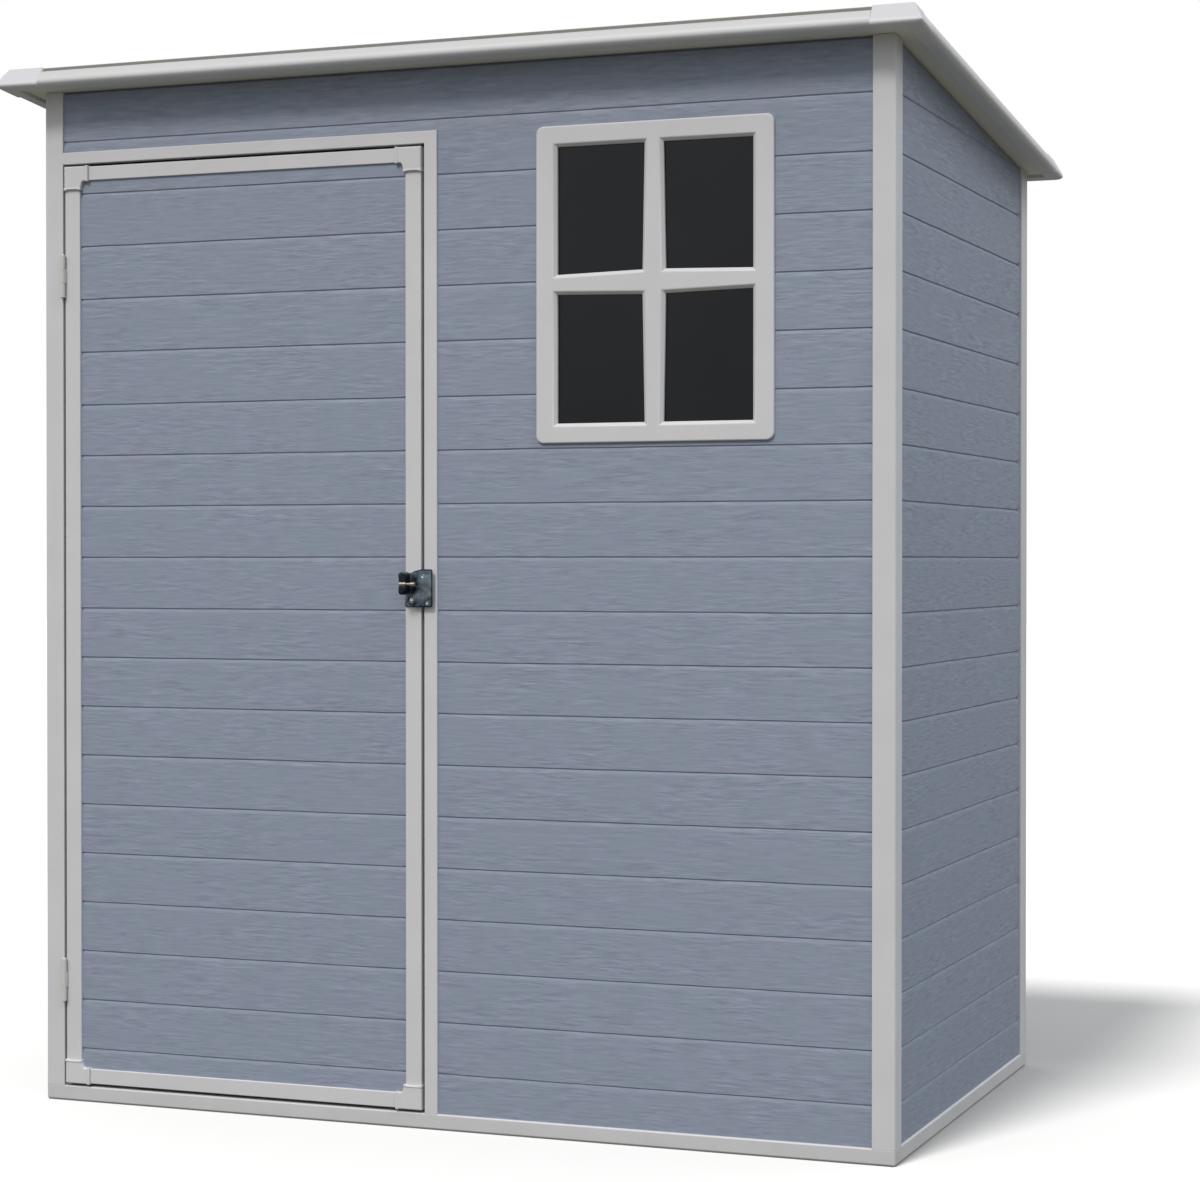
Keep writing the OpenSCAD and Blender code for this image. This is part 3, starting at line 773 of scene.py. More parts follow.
@dataclass
class Carcass:
    """Base sills, corner posts and the door's frame: light profiles with softened edges."""

    roof: RoofPlane
    edge_round: float = 1.4 * MM
    sill_round: float = 3.5 * MM
    post_foot: float = 1.5 * MM
    foot_chamfer: float = 3.5 * MM
    corner_round: float = 4.5 * MM

    def build(self) -> None:
        """Build every profile of the carcass."""
        self.sills()
        for corner in ("front_left", "front_right", "back_left", "back_right"):
            self.post(corner)
        self.door_frame()

    def sills(self) -> None:
        """Build the four sills as one frame, rounder outside along the top and the foot."""
        low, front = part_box("front_sill")
        depth = front.y - low.y
        high = Vector((front.x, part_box("back_sill")[1].y, front.z))
        outer = ((low.x, low.y), (high.x, low.y), (high.x, high.y), (low.x, high.y))
        inner = ((low.x + depth, low.y + depth), (high.x - depth, low.y + depth),
                 (high.x - depth, high.y - depth), (low.x + depth, high.y - depth))
        shape = Shape()
        shape.ring(*[[Vector((*point, low.z)) for point in outline] for outline in (outer, inner)])
        shape.thicken(UP * (high.z - low.z))

        def outside(co: Vector) -> bool:
            """Tell whether a place lies on the outer faces."""
            margin = depth / 2
            return not (low.x + margin < co.x < high.x - margin and low.y + margin < co.y < high.y - margin)

        shape.bevel([edge for edge in shape.edges(outside) if extent(edge).z > TOUCH], self.corner_round, 5)
        crown = shape.sharp_at(lambda co: outside(co) and co.z > high.z - TOUCH)
        shape.bevel(crown, self.sill_round, 4)
        foot = shape.sharp_at(lambda co: outside(co) and co.z < low.z + TOUCH)
        shape.bevel(foot, self.foot_chamfer, 1)
        shape.round(self.edge_round)
        shape.finish("base_sill_frame", SILL, Body.SHED, Slot.TRIM,
                     "front_sill", "back_sill", "left_sill", "right_sill")

    def post(self, corner: str) -> None:
        """Build a corner post of L section from inside the sill up to the sloping roof."""
        node = f"{corner}_post"
        low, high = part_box(node)
        foot = low.z - self.post_foot
        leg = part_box("front_wall")[1].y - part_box("front_left_post")[0].y
        side = 1 if corner.endswith("right") else -1
        depth = 1 if corner.startswith("front") else -1
        x_out, x_in = (high.x, low.x) if side > 0 else (low.x, high.x)
        y_out, y_in = (low.y, high.y) if depth > 0 else (high.y, low.y)
        outline = ((x_in, y_out), (x_out, y_out), (x_out, y_in), (x_out - side * leg, y_in),
                   (x_out - side * leg, y_out + depth * leg), (x_in, y_out + depth * leg))
        shape = Shape()
        shape.prism([Vector((x, y, foot)) for x, y in outline], UP * (high.z - foot))
        shape.slice(self.roof.wall_top, self.roof.normal, clear=True)
        arris = shape.edges(lambda co: abs(co.x - x_out) < TOUCH and abs(co.y - y_out) < TOUCH)
        shape.bevel(arris, self.corner_round, 5)
        shape.round(self.edge_round, keep=lambda co: co.z < foot + TOUCH)
        shape.finish(f"{node}_profile", PROFILE, Body.SHED, Slot.TRIM, node)

    def door_frame(self) -> None:
        """Build the jamb and the lintel as one bent frame that runs into the post and the sill."""
        jamb_low, jamb_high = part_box("door_jamb")
        low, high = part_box("door_lintel")
        foot, start = jamb_low.z - self.sill_round, low.x - self.edge_round
        outline = ((jamb_low.x, foot), (jamb_high.x, foot), (high.x, high.z),
                   (start, high.z), (start, low.z), (jamb_low.x, low.z))
        shape = Shape()
        shape.prism([Vector((x, low.y, z)) for x, z in outline], INTO * (high.y - low.y))
        shape.round(self.edge_round, keep=lambda co: co.z < foot + TOUCH)
        shape.finish("door_frame_profile", PROFILE, Body.SHED, Slot.TRIM, "door_jamb", "door_lintel")


@dataclass
class Door:
    """Frame of the door leaf: stiles, rails and moulded corner caps."""

    face_round: float = 1.6 * MM
    back_round: float = 1.2 * MM
    # How far stiles and rails run on inside the caps
    tongue: float = 8 * MM
    # Seal on the hinge side that narrows the gap to the post
    seal: float = 1 * MM
    cap_stand: float = 1.5 * MM
    cap_bulge: float = 1.2 * MM
    cap_root: float = 6.5 * MM
    cap_end: float = 2.5 * MM
    cap_fillet: float = 4 * MM
    cap_round: float = 2.6 * MM
    collar: float = 6 * MM
    collar_stand: float = 0.9 * MM
    collar_round: float = 1.6 * MM
    # Dip in the stile's collar, over the middle half of the stile
    saddle: float = 2.2 * MM

    def build(self) -> None:
        """Build every piece of the door's frame."""
        for node in ("door_hinge_stile", "door_latch_stile", "door_top_rail", "door_bottom_rail"):
            self.bar(node)
        for end in ("top", "bottom"):
            for side in ("hinge", "latch"):
                self.cap(end, side)

    def bar(self, node: str) -> None:
        """Build a stile or a rail, with its ends inside the caps."""
        low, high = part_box(node)
        long_way = ACROSS if node.endswith("rail") else UP
        if node == "door_hinge_stile":
            low.x -= self.seal
        shape = Shape()
        shape.box(low - long_way * self.tongue, high + long_way * self.tongue)
        front = [edge for edge in shape.edges(lambda co: co.y < low.y + TOUCH)
                 if extent(edge).dot(long_way) > TOUCH]
        shape.bevel(front, self.face_round, 4)
        shape.round(self.back_round)
        shape.finish(f"{node}_profile", PROFILE, Body.DOOR, Slot.TRIM, node)

    def cap(self, end: str, side: str) -> None:
        """Build the moulded elbow on one corner of the door, with a raised collar on each arm."""
        node = f"door_cap_{end}_{side}"
        low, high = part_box(node)
        stile_low, stile_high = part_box("door_hinge_stile")
        rail_low, rail_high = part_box(f"door_{end}_rail")
        stile_w, rail_h = stile_high.x - stile_low.x, rail_high.z - rail_low.z
        reach_x, reach_z = high.x - low.x, high.z - low.z
        x_out, x_way = (low.x, 1) if side == "hinge" else (high.x, -1)
        z_out, z_way = (low.z, 1) if end == "bottom" else (high.z, -1)
        bulge, stand = self.cap_bulge, self.cap_bulge + self.collar_stand
        root, tip, collar = stile_w + self.cap_root, stile_w + self.cap_end, self.collar
        front = low.y - self.cap_stand
        shape = Shape()

        def moulding(outline: Iterable[tuple[float, float]], face: float) -> list[BMVert]:
            """Add a solid of the cap from its face to the back of the door."""
            return shape.prism([Vector((x_out + x_way * x, face, z_out + z_way * z)) for x, z in outline],
                               INTO * (high.y - face))

        moulding(((-bulge, -bulge), (reach_x - bulge, -bulge), (reach_x - bulge, rail_h + bulge),
                  (root, rail_h + bulge), (tip, reach_z - collar / 2), (-bulge, reach_z - collar / 2)), front)
        shape.bevel(shape.edges(lambda co: abs(co.x - x_out - x_way * root) < TOUCH), self.cap_fillet, 4)
        shape.bevel(shape.sharp_at(lambda co: co.y < front + TOUCH), self.cap_round, 4)
        shape.round(self.back_round)
        proud = front - self.collar_stand
        collars = moulding(((reach_x - collar, -stand), (reach_x, -stand), (reach_x, rail_h + stand),
                            (reach_x - collar, rail_h + stand)), proud)
        wide, dip = tip + self.collar_stand, reach_z - self.saddle
        collars += moulding(((-stand, reach_z - collar), (wide, reach_z - collar), (wide, reach_z),
                             (stile_w * 0.75, dip), (stile_w * 0.25, dip), (-stand, reach_z)), proud)
        rims = shape.sharp_edges({edge for vert in collars for edge in vert.link_edges})
        shape.bevel(rims, self.collar_round, 3)
        shape.finish(f"{node}_moulding", MOULDED_CAP, Body.DOOR, Slot.TRIM, node)


@dataclass
class Hinge:
    """A butt hinge in the door gap, with its knuckles in front of it."""

    place: str
    slimness: float = 0.86
    rim_round: float = 0.3 * MM
    pin_head: float = 1.6 * MM
    pin_head_r: float = 3.6 * MM
    pin_tip_r: float = 2.16 * MM
    tab: float = 2.4 * MM
    # The leaf starts this far behind its knuckles, and a tab of twice that joins them
    leaf_setback: float = 0.5 * MM

    def build(self) -> None:
        """Build the half on the post and the half on the door."""
        joint = next(j for j in frame["joints"] if j["name"] == "door_swing")
        axis_x, axis_y = joint["pos_m"][:2]
        post_low, post_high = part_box(f"{self.place}_hinge_post_leaf")
        door_low, door_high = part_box(f"{self.place}_hinge_door_leaf")
        radius = (axis_y - post_low.y) * self.slimness
        third = (post_high.z - post_low.z) / 3
        gap = self.rim_round
        ends = ((post_low.z, post_low.z + third - gap), (post_high.z - third + gap, post_high.z))
        shape = Shape()
        self.half(shape, Vector((axis_x, axis_y, 0.0)), radius, ends,
                  (post_low.x, axis_x - self.tab / 2), post_high.y, (post_low.z, post_high.z))
        for z, way in ((post_low.z, -1), (post_high.z, 1)):
            shape.rod(Vector((axis_x, axis_y, z)), Vector((axis_x, axis_y, z + way * self.pin_head)),
                      self.pin_head_r, self.pin_tip_r)
        shape.finish(f"{self.place}_hinge_on_post", HINGE_STEEL, Body.SHED, Slot.HINGE,
                     f"{self.place}_hinge_post_leaf")
        middle = ((post_low.z + third, post_high.z - third),)
        shape = Shape()
        self.half(shape, Vector((axis_x, axis_y, 0.0)), radius, middle,
                  (axis_x + self.tab / 2, door_high.x), door_high.y, (door_low.z, door_high.z))
        shape.finish(f"{self.place}_hinge_on_door", HINGE_STEEL, Body.DOOR, Slot.HINGE,
                     f"{self.place}_hinge_door_leaf")

    def half(self, shape: Shape, axis: Vector, radius: float, spans: Iterable[tuple[float, float]],
             leaf_x: tuple[float, float], back: float, leaf_z: tuple[float, float]) -> None:
        """Add the knuckles and the leaf of one half.

        Args:
            shape: Mesh to add to.
            axis: A point on the pin's axis.
            radius: Radius of the knuckles.
            spans: Lower and upper level of each knuckle.
            leaf_x: Sides of the leaf.
            back: Depth that the leaf reaches.
            leaf_z: Lower and upper level of the leaf.
        """
        for bottom, top in spans:
            shape.rod(axis + UP * bottom, axis + UP * top, radius)
            shape.box(Vector((leaf_x[0], axis.y, bottom)),
                      Vector((leaf_x[1], axis.y + radius + 2 * self.leaf_setback, top)))
        shape.box(Vector((leaf_x[0], axis.y + radius + self.leaf_setback, leaf_z[0])),
                  Vector((leaf_x[1], back, leaf_z[1])))
        shape.round(self.rim_round, 2)


@dataclass
class Latch:
    """Turn latch: a folded plate on the stile and a two-winged turn."""

    sheet: float = 2.5 * MM
    # Width of the plate's base on the stile
    base_w: float = 22 * MM
    fold_round: float = 1.6 * MM
    corner_round: float = 4 * MM
    edge_round: float = 0.5 * MM
    # Dark margin of the plate's front: painted dark reflection along its edges
    rim: float = 2.6 * MM
    # Slant of the plate's top edge towards the base
    slant_from: float = 22 * MM
    slant_drop: float = 9 * MM
    # Screws, set in from the plate's right side and from its top and bottom
    screw_r: float = 3.6 * MM
    screw_h: float = 1.5 * MM
    screw_round: float = 0.35 * MM
    top_screw: tuple[float, float] = (19 * MM, 13 * MM)
    bottom_screw: tuple[float, float] = (10 * MM, 8 * MM)
    # Rivet, set in from the base's left side and from its bottom
    rivet_r: float = 5.2 * MM
    rivet_h: float = 3 * MM
    rivet_inset: tuple[float, float] = (14.5 * MM, 11.5 * MM)
    # Turn: a waisted grip clear of the plate, on a spindle with a washer behind the stile
    grip_clear: float = 5.5 * MM
    grip_round: float = 2.4 * MM
    waist: float = 0.72
    spindle_r: float = 4 * MM
    spindle_root: float = 1 * MM
    washer_r: float = 9 * MM
    washer_gap: float = 0.3 * MM
    washer_round: float = 0.4 * MM
    # Cross pin: its core, and the start, end and radius of its sleeve and of its head
    pin_r: float = 2.6 * MM
    pin_sleeve: tuple[float, float, float] = (-6 * MM, 7 * MM, 4.6 * MM)
    pin_head: tuple[float, float, float] = (15 * MM, 25 * MM, 3.8 * MM)
    pin_drop: float = 1.5 * MM

    def build(self) -> None:
        """Build the plate, its screws and the turn."""
        self.plate()
        self.screws()
        self.turn()

    def plate(self) -> None:
        """Build the folded plate, slanted along the top towards the base."""
        low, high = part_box("latch_plate")
        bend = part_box("door_latch_stile")[0].x + self.base_w
        sheet = self.sheet
        section = ((low.x, high.y), (low.x, high.y - sheet), (bend - sheet, high.y - sheet),
                   (bend - sheet, low.y), (high.x, low.y), (high.x, low.y + sheet),
                   (bend, low.y + sheet), (bend, high.y))
        shape = Shape()
        shape.prism([Vector((x, y, low.z)) for x, y in section], UP * (high.z - low.z))
        run = high.x - self.slant_from - low.x
        shape.slice(Vector((high.x - self.slant_from, 0.0, high.z)),
                    Vector((-self.slant_drop, 0.0, run)).normalized(), clear=True)
        sides = shape.sharp_at(lambda co: co.x > high.x - TOUCH or co.x < low.x + TOUCH)
        shape.bevel([edge for edge in sides if extent(edge).y > TOUCH], self.corner_round, 4)
        shape.bm.normal_update()
        front = [face for face in shape.bm.faces
                 if face.normal.y < -0.9 and face.calc_center_median().y < low.y + TOUCH]
        # Painted reflection: the margin ring of the front takes the dark second finish
        for face in bmesh.ops.inset_region(shape.bm, faces=front, thickness=self.rim)["faces"]:
            face.material_index = int(face.calc_center_median().x > bend + self.rim)
        folds = [edge for edge in shape.sharp_edges()
                 if extent(edge).z > 10 * sheet and bend - sheet - TOUCH < edge.verts[0].co.x < bend + TOUCH]
        shape.bevel(folds, self.fold_round, 3)
        shape.round(self.edge_round, 2)
        shape.finish("latch_cover_plate", LATCH_ZINC, Body.DOOR, Slot.LATCH, "latch_plate", rim=DARK_ZINC_AND_REFLECTION)

    def screws(self) -> None:
        """Build the two hollow screw heads and the domed rivet of the plate."""
        low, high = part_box("latch_plate")
        shape = Shape()
        for x, z in ((high.x - self.top_screw[0], high.z - self.top_screw[1]),
                     (high.x - self.bottom_screw[0], low.z + self.bottom_screw[1])):
            verts = shape.rod(Vector((x, low.y, z)), Vector((x, low.y - self.screw_h, z)),
                              self.screw_r, self.screw_r * 0.85, 24)
            crown = [face for face in {face for vert in verts for face in vert.link_faces}
                     if face.calc_center_median().y < low.y - self.screw_h * 0.9]
            bmesh.ops.inset_region(shape.bm, faces=crown, thickness=self.screw_r * 0.5)
            bmesh.ops.translate(shape.bm, vec=INTO * (self.screw_h * 0.5),
                                verts=list({vert for face in crown for vert in face.verts}))
        shape.round(self.screw_round, 2)
        rivet = Vector((low.x + self.rivet_inset[0], high.y - self.sheet, low.z + self.rivet_inset[1]))
        flat = Matrix.Diagonal((1.0, self.rivet_h / self.rivet_r, 1.0, 1.0))
        bmesh.ops.create_uvsphere(shape.bm, u_segments=24, v_segments=16, radius=self.rivet_r,
                                  matrix=Matrix.Translation(rivet) @ flat)
        shape.finish("latch_screws", SCREW_ZINC, Body.DOOR, Slot.LATCH)

    def turn(self) -> None:
        """Build the winged turn on its spindle, with the washer behind the stile."""
        joint = next(j for j in frame["joints"] if j["name"] == "latch_turn")
        axis_x, _, axis_z = joint["pos_m"]
        low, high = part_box("latch_turn")
        washer_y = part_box("door_latch_stile")[1].y + self.washer_gap
        grip_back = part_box("latch_plate")[0].y - self.grip_clear
        half_w, half_l = (high.x - low.x) / 2, (high.z - low.z) / 2
        shape = Shape()
        shape.box(Vector((axis_x - half_w, low.y, axis_z - half_l)),
                  Vector((axis_x + half_w, grip_back, axis_z + half_l)))
        shape.slice(UP * axis_z, UP)
        for vert in shape.bm.verts:
            if abs(vert.co.z - axis_z) < TOUCH:
                vert.co.x = axis_x + (vert.co.x - axis_x) * self.waist
        ends = [edge for edge in shape.bm.edges
                if extent(edge).y > TOUCH and abs(edge.verts[0].co.z - axis_z) > TOUCH]
        shape.bevel(ends, half_w * 0.8, 6)
        waist = [edge for edge in shape.bm.edges
                 if extent(edge).y > TOUCH and abs(edge.verts[0].co.z - axis_z) < TOUCH]
        shape.bevel(waist, half_w * 0.6, 4)
        shape.round(self.grip_round, 3)
        back = Vector((axis_x, high.y, axis_z))
        shape.rod(Vector((axis_x, grip_back - self.spindle_root, axis_z)), back, self.spindle_r)
        shape.rod(Vector((axis_x, washer_y, axis_z)), back, self.washer_r)
        shape.round(self.washer_round, 2)
        shape.finish("latch_winged_turn", DARK_ZINC_AND_REFLECTION, Body.LATCH, Slot.LATCH, "latch_turn")
        middle = Vector((axis_x, low.y + self.pin_r, axis_z - self.pin_drop))
        core = (self.pin_sleeve[0] + self.pin_r, self.pin_head[1] - self.pin_r, self.pin_r)
        shape = Shape()
        for start, end, radius in (core, self.pin_sleeve, self.pin_head):
            shape.rod(middle + ACROSS * start, middle + ACROSS * end, radius, sides=24)
        shape.round(self.pin_r / 4)
        shape.finish("latch_cross_pin", STRAW_ZINC, Body.LATCH, Slot.LATCH)


@dataclass
class Window:
    """Four-pane window: a moulded frame whose bars widen towards their crossing."""

    border: float = 40 * MM
    border_top: float = 38 * MM
    border_bottom: float = 36 * MM
    bar: float = 36 * MM
    crossing: float = 44 * MM
    corner_round: float = 14 * MM
    rim_round: float = 3 * MM
    pane_slope: float = 6 * MM
    slope_round: float = 2.2 * MM
    edge_round: float = 0.5 * MM

    def build(self) -> None:
        """Build the frame and dress the glazing."""
        low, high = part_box("window_frame")
        mid_x, mid_z = (low.x + high.x) / 2, (low.z + high.z) / 2
        shape = Shape()
        for x_way in (-1, 1):
            for z_way in (-1, 1):
                self.cell(shape, high, mid_x, mid_z, x_way, z_way)
        shape.thicken(INTO * (low.y - high.y))
        outside = [edge for edge in shape.bm.edges
                   if extent(edge).y > TOUCH
                   and all(abs(abs(vert.co.x - mid_x) - (high.x - mid_x)) < TOUCH
                           and abs(abs(vert.co.z - mid_z) - (high.z - mid_z)) < TOUCH for vert in edge.verts)]
        shape.bevel(outside, self.corner_round, 6)
        front = shape.sharp_at(lambda co: co.y < low.y + TOUCH)
        inset = self.border_bottom / 2
        panes = [edge for edge in front
                 if all(low.x + inset < vert.co.x < high.x - inset
                        and low.z + inset < vert.co.z < high.z - inset for vert in edge.verts)]
        shape.bevel([edge for edge in front if edge not in panes], self.rim_round, 4)
        shape.bevel(panes, self.pane_slope, 1)
        shape.bevel(shape.sharp_at(lambda co: co.y < low.y + TOUCH), self.slope_round, 4)
        shape.round(self.edge_round, 2)
        shape.finish("window_frame_moulding", MOULDED_CAP, Body.SHED, Slot.TRIM, "window_frame")
        dress("window_glass", GLAZING)

    def cell(self, shape: Shape, high: Vector, mid_x: float, mid_z: float, x_way: int, z_way: int) -> None:
        """Add the frame around one pane as a flat ring on the wall's face.

        Args:
            shape: Mesh to add to.
            high: Highest corner of the frame.
            mid_x: Middle of the frame across.
            mid_z: Middle of the frame upwards.
            x_way: -1 for a pane on the left, 1 for one on the right.
            z_way: -1 for a lower pane, 1 for an upper one.
        """
        half_w, half_h = high.x - mid_x, high.z - mid_z
        edge_z = self.border_top if z_way > 0 else self.border_bottom
        outer = ((0.0, 0.0), (half_w, 0.0), (half_w, half_h), (0.0, half_h))
        inner = ((self.crossing / 2, self.crossing / 2), (half_w - self.border, self.bar / 2),
                 (half_w - self.border, half_h - edge_z), (self.bar / 2, half_h - edge_z))
        shape.ring(*[[Vector((mid_x + x_way * x, high.y, mid_z + z_way * z)) for x, z in outline]
                     for outline in (outer, inner)])


@dataclass
class Roof:
    """Roof panel with a covering sheet, nosed edging and moulded corner caps."""

    plane: RoofPlane
    # The edging's face leans towards the roof over a round nose
    lean: float = math.radians(30)
    nose: float = 12 * MM
    cap_nose: float = 8 * MM
    crown_round: float = 7 * MM
    hip_round: float = 7 * MM
    # A cap's mitre is rounded where it turns at least this much
    hip_angle: float = SHARP_ANGLE / 8
    edge_round: float = 0.8 * MM
    sheet_round: float = 2.5 * MM

    def build(self) -> None:
        """Build every piece of the roof."""
        self.panel()
        self.sheet()
        for side in ("front", "back", "left", "right"):
            self.edging(side)
        for corner in ("front_left", "front_right", "back_left", "back_right"):
            self.cap(corner)

    def place(self, shape: Shape) -> None:
        """Turn a shape made in the roof's own frame into the shed's frame."""
        bmesh.ops.transform(shape.bm, matrix=self.plane.matrix, verts=shape.bm.verts[:])

    def panel(self) -> None:
        """Build the roof panel, which shows as the soffit."""
        shape = Shape()
        shape.box(*self.plane.box("roof_panel"))
        shape.round(self.edge_round)
        self.place(shape)
        shape.finish("roof_panel_soffit", SOFFIT, Body.SHED, Slot.TRIM, "roof_panel")

    def sheet(self) -> None:
        """Build the covering sheet, notched at the corner caps."""
        low, high = self.plane.box("roof_sheet")
        panel_low, panel_high = self.plane.box("roof_panel")
        back_cap = self.plane.box("back_right_roof_cap")[0]
        front_cap = self.plane.box("front_right_roof_cap")[1]
        cap_u, panel_u = back_cap.x, panel_high.x
        right = [(cap_u, low.y), (cap_u, panel_low.y), (panel_u, panel_low.y), (panel_u, front_cap.y),
                 (high.x, front_cap.y), (high.x, back_cap.y), (panel_u, back_cap.y),
                 (panel_u, panel_high.y), (cap_u, panel_high.y), (cap_u, high.y)]
        outline = right + [(-u, v) for u, v in reversed(right)]
        shape = Shape()
        shape.prism([Vector((u, v, low.z)) for u, v in outline], UP * (high.z - low.z))
        shape.bevel(shape.sharp_at(lambda co: co.z > high.z - TOUCH), self.sheet_round, 3)
        self.place(shape)
        shape.finish("roof_cover_sheet", ROOF_COVER, Body.SHED, Slot.ROOF_SHEET, "roof_sheet")

    def nose_width(self, nose: float) -> float:
        """Return the width of a nose's rounding along the faces that meet there."""
        return nose / math.tan((math.pi / 2 - self.lean) / 2)

    def tip_offset(self, height: float) -> float:
        """Return how far the leaning face, without its nose, lies inside the tip at a height."""
        return self.nose - self.nose_width(self.nose) + height * math.tan(self.lean)

    def edging(self, side: str) -> None:
        """Build the nosed edging along one side."""
        node = f"{side}_roof_edge"
        low, high = self.plane.box(node)
        normal = Facing[side.upper()].normal
        outer = max(low.dot(normal), high.dot(normal))
        shape = Shape()
        for vert in shape.box(low, high):
            if vert.co.dot(normal) > outer - TOUCH:
                vert.co -= normal * self.tip_offset(vert.co.z - low.z)
        crown = shape.edges(lambda co: co.z > high.z - TOUCH and co.dot(normal) > outer - self.nose * 2)
        shape.bevel(crown, self.crown_round, 5)
        under = shape.edges(lambda co: co.z < low.z + TOUCH and co.dot(normal) > outer)
        shape.bevel(under, self.nose_width(self.nose), 10)
        self.place(shape)
        shape.finish(f"{node}_nosing", ROOF_PROFILE, Body.SHED, Slot.TRIM, node)

    def cap(self, corner: str) -> None:
        """Build the moulded cap on one corner, mitred and leaning like the edging, with a tighter nose."""
        node = f"{corner}_roof_cap"
        low, high = self.plane.box(node)
        panel_low, panel_high = self.plane.box("roof_panel")
        u_way = 1 if corner.endswith("right") else -1
        v_way = 1 if corner.startswith("back") else -1
        u_out, u_in, u_panel = (high.x, low.x, panel_high.x) if u_way > 0 else (low.x, high.x, panel_low.x)
        v_out, v_in, v_panel = (high.y, low.y, panel_high.y) if v_way > 0 else (low.y, high.y, panel_low.y)
        outline = ((u_in, v_out), (u_out, v_out), (u_out, v_in), (u_panel, v_in),
                   (u_panel, v_panel), (u_in, v_panel))
        # The tighter nose leaves more of the corner standing, half of it beyond the edging's tip
        spare = (self.nose_width(self.nose) - self.nose - self.nose_width(self.cap_nose) + self.cap_nose) / 2
        shape = Shape()
        for vert in shape.prism([Vector((u, v, low.z)) for u, v in outline], UP * (high.z - low.z)):
            offset = self.tip_offset(vert.co.z - low.z) + spare
            if abs(vert.co.x - u_out) < TOUCH:
                vert.co.x -= u_way * offset
            if abs(vert.co.y - v_out) < TOUCH:
                vert.co.y -= v_way * offset

        def beyond(co: Vector) -> tuple[float, float]:
            """Return how far a place lies beyond the tip along u and v."""
            return (co.x - u_out) * u_way, (co.y - v_out) * v_way

        def on_hip(co: Vector) -> bool:
            """Tell whether a place lies on the outer mitre."""
            u, v = beyond(co)
            return abs(u - v) < TOUCH and u > (u_panel - u_out) * u_way / 2

        shape.bevel(shape.edges(lambda co: co.z < low.z + TOUCH and max(beyond(co)) > TOUCH),
                    self.nose_width(self.cap_nose), 8, mitre=True)
        shape.bm.normal_update()
        hips = [edge for edge in shape.edges(on_hip) if edge.calc_face_angle(0.0) > self.hip_angle]
        shape.bevel(hips, self.hip_round, 3)
        shape.round(self.edge_round, 2)
        self.place(shape)
        shape.finish(f"{node}_moulding", ROOF_CAP, Body.SHED, Slot.TRIM, node)


class Reach(Enum):
    """What a lamp lights."""

    SHED = "shed"
    FLOOR = "floor"


@dataclass(frozen=True)
class Lamp:
    """A far soft lamp."""

    name: str
    strength: float
    tint: str
    # Degrees: height over the horizon, turn from the front to the right and apparent size
    height: float
    turn: float
    spread: float
    reach: Reach = Reach.SHED


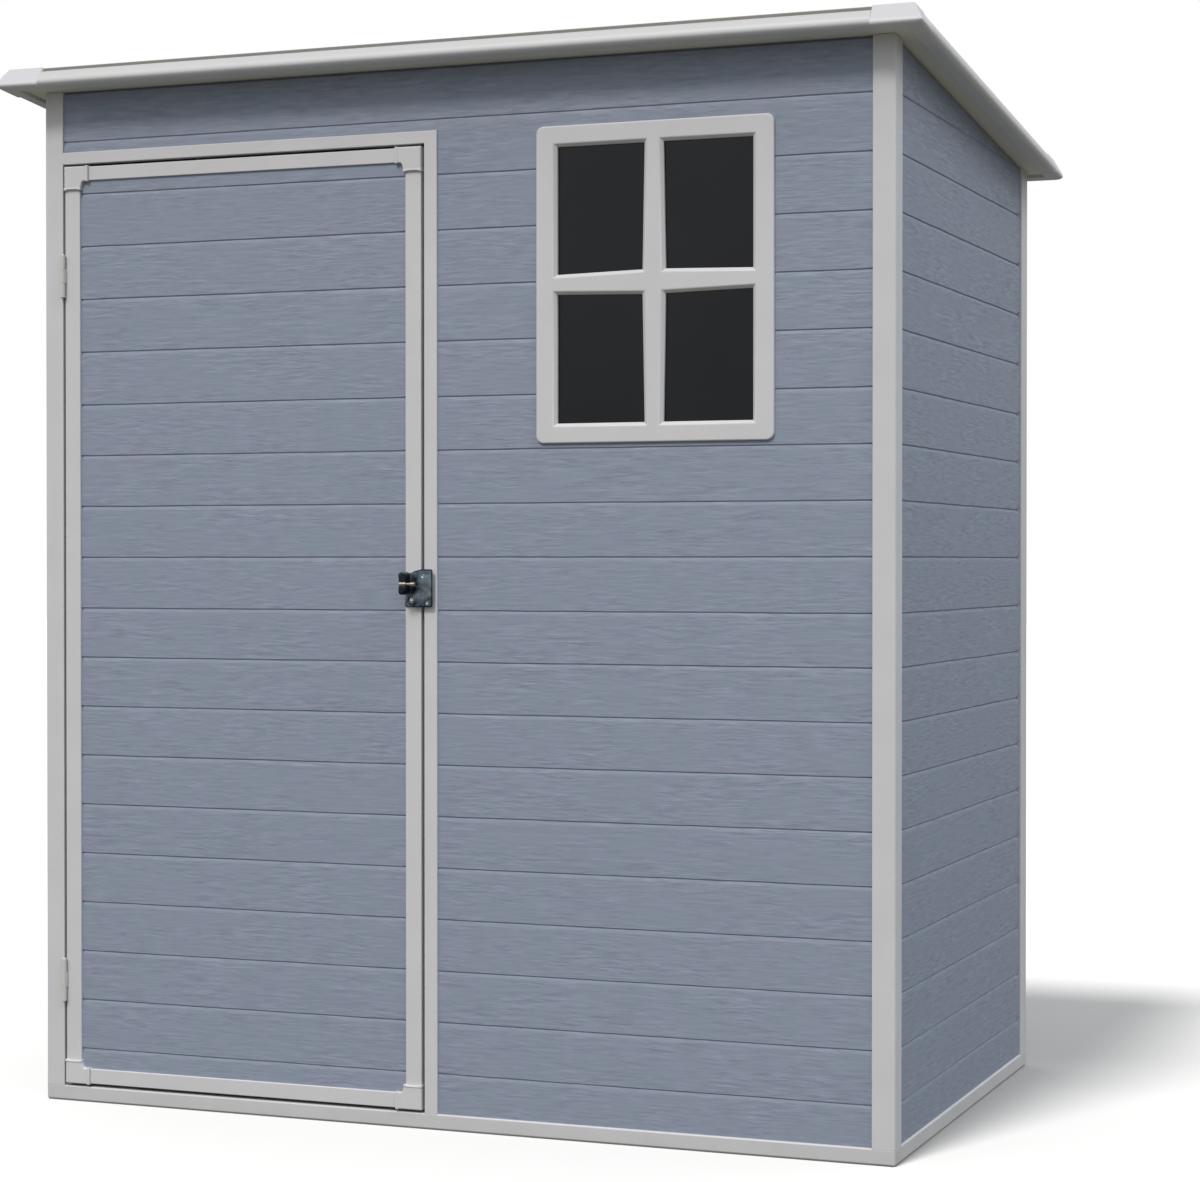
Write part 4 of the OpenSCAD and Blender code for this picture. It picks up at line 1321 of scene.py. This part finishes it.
@dataclass
class Studio:
    """Plain pale floor, soft light and the camera at the photograph's angle."""

    camera_place: tuple[float, float, float] = (2.0971, -5.1634, 1.0502)
    camera_yaw: float = math.radians(21.119)
    camera_pitch: float = math.radians(-0.611)
    lens: float = 82.86
    sensor: float = 36.0
    floor_half: float = 40.0
    floor_colour: str = "#b5b4b2"
    # The floor throws back an even low light, as grass around the shed would
    floor_bounce: str = "#fffdee"
    bounce_strength: float = 0.195
    # Overcast sky, three times as bright overhead as on the horizon
    zenith: float = 1.42
    horizon: float = zenith / 3
    sky_tint: str = "#f8fbff"
    backdrop: str = "#ffffff"
    lamps: tuple[Lamp, ...] = (
        Lamp("key", 1.78, "#fff9f4", 47, -12, 14),
        Lamp("fill", 0.94, "#f3fbff", 55, 80, 30),
        Lamp("floor_lamp", 5.0, "#ffffff", 61, -11, 11, Reach.FLOOR))

    def build(self) -> None:
        """Set up the studio."""
        self.floor()
        self.world()
        self.lights()
        self.camera()
        bpy.context.scene.view_settings.view_transform = "Standard"

    def floor(self) -> None:
        """Lay the pale floor just under the sills."""
        bm = bmesh.new()
        bmesh.ops.create_grid(bm, x_segments=1, y_segments=1, size=self.floor_half)
        mesh = bpy.data.meshes.new("studio_floor")
        bm.to_mesh(mesh)
        bm.free()
        material = bpy.data.materials.new("pale_studio_floor")
        material.use_nodes = True
        tree = material.node_tree
        shader = tree.nodes["Principled BSDF"]
        shader.inputs["Base Color"].default_value = linear(self.floor_colour)
        shader.inputs["Roughness"].default_value = 0.9
        shader.inputs["Specular IOR Level"].default_value = 0.0
        bounce = add_node(tree, "ShaderNodeEmission", {
            "Color": linear(self.floor_bounce), "Strength": self.bounce_strength}).outputs[0]
        seen = add_node(tree, "ShaderNodeLightPath").outputs["Is Camera Ray"]
        mix = add_node(tree, "ShaderNodeMixShader", {0: seen, 1: bounce, 2: shader.outputs[0]}).outputs[0]
        tree.links.new(mix, tree.nodes["Material Output"].inputs["Surface"])
        mesh.materials.append(material)
        plane = bpy.data.objects.new("studio_floor", mesh)
        bpy.context.scene.collection.objects.link(plane)

    def world(self) -> None:
        """Light the studio from an overcast sky, which the camera sees as plain white."""
        world = bpy.data.worlds.new("overcast_surround")
        world.use_nodes = True
        tree = world.node_tree
        way = add_node(tree, "ShaderNodeTexCoord").outputs["Generated"]
        height = add_node(tree, "ShaderNodeSeparateXYZ", {0: way}).outputs[2]
        glow = add_node(tree, "ShaderNodeMapRange", {
            "Value": height, "To Min": self.horizon, "To Max": self.zenith}).outputs[0]
        seen = add_node(tree, "ShaderNodeLightPath").outputs["Is Camera Ray"]
        strength = add_node(tree, "ShaderNodeMix", {0: seen, 2: glow, 3: 1.0}).outputs[0]
        colour = add_node(tree, "ShaderNodeMix", {
            0: seen, 6: linear(self.sky_tint), 7: linear(self.backdrop)}, data_type="RGBA").outputs[2]
        background = tree.nodes["Background"]
        tree.links.new(colour, background.inputs["Color"])
        tree.links.new(strength, background.inputs["Strength"])
        bpy.context.scene.world = world

    def lights(self) -> None:
        """Hang the lamps."""
        for lamp in self.lamps:
            data = bpy.data.lights.new(lamp.name, "SUN")
            data.energy = lamp.strength
            data.color = linear(lamp.tint)[:3]
            data.angle = math.radians(lamp.spread)
            sun = bpy.data.objects.new(lamp.name, data)
            sun.rotation_euler = (math.radians(90 - lamp.height), 0.0, math.radians(lamp.turn))
            bpy.context.scene.collection.objects.link(sun)
            floor_only = bpy.data.collections.new(f"floor_for_{lamp.name}")
            floor_only.objects.link(bpy.data.objects["studio_floor"])
            if lamp.reach is Reach.SHED:
                floor_only.collection_objects[0].light_linking.link_state = "EXCLUDE"
            sun.light_linking.receiver_collection = floor_only

    def camera(self) -> None:
        """Set the camera where the photograph was taken."""
        data = bpy.data.cameras.new("camera")
        data.sensor_fit = "HORIZONTAL"
        data.sensor_width = self.sensor
        data.lens = self.lens
        camera = bpy.data.objects.new("camera", data)
        camera.location = self.camera_place
        camera.rotation_euler = (math.pi / 2 + self.camera_pitch, 0.0, self.camera_yaw)
        bpy.context.scene.collection.objects.link(camera)
        bpy.context.scene.camera = camera


def main() -> None:
    """Build the shed around its frame."""
    logging.basicConfig(level=logging.INFO, format="%(name)s: %(message)s")
    roof = RoofPlane()
    dress("floor_panel", FLOOR_RESIN)
    Carcass(roof).build()
    PlankPanel(("front_wall", "wall_over_door"), "front_planks", Facing.FRONT, roof,
               opening=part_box("window_glass")).build()
    for side in ("left", "right"):
        PlankPanel((f"{side}_wall",), f"{side}_planks", Facing[side.upper()], roof,
                   notch=SIDE_NOTCH).build()
    PlankPanel(("back_wall",), "back_planks", Facing.BACK, roof).build()
    PlankPanel(("door_panel",), "door_planks", Facing.FRONT, roof, Body.DOOR).build()
    Door().build()
    for place in ("upper", "lower"):
        Hinge(place).build()
    Latch().build()
    Window().build()
    Roof(roof).build()
    Studio().build()


if __name__ == "__main__":
    main()
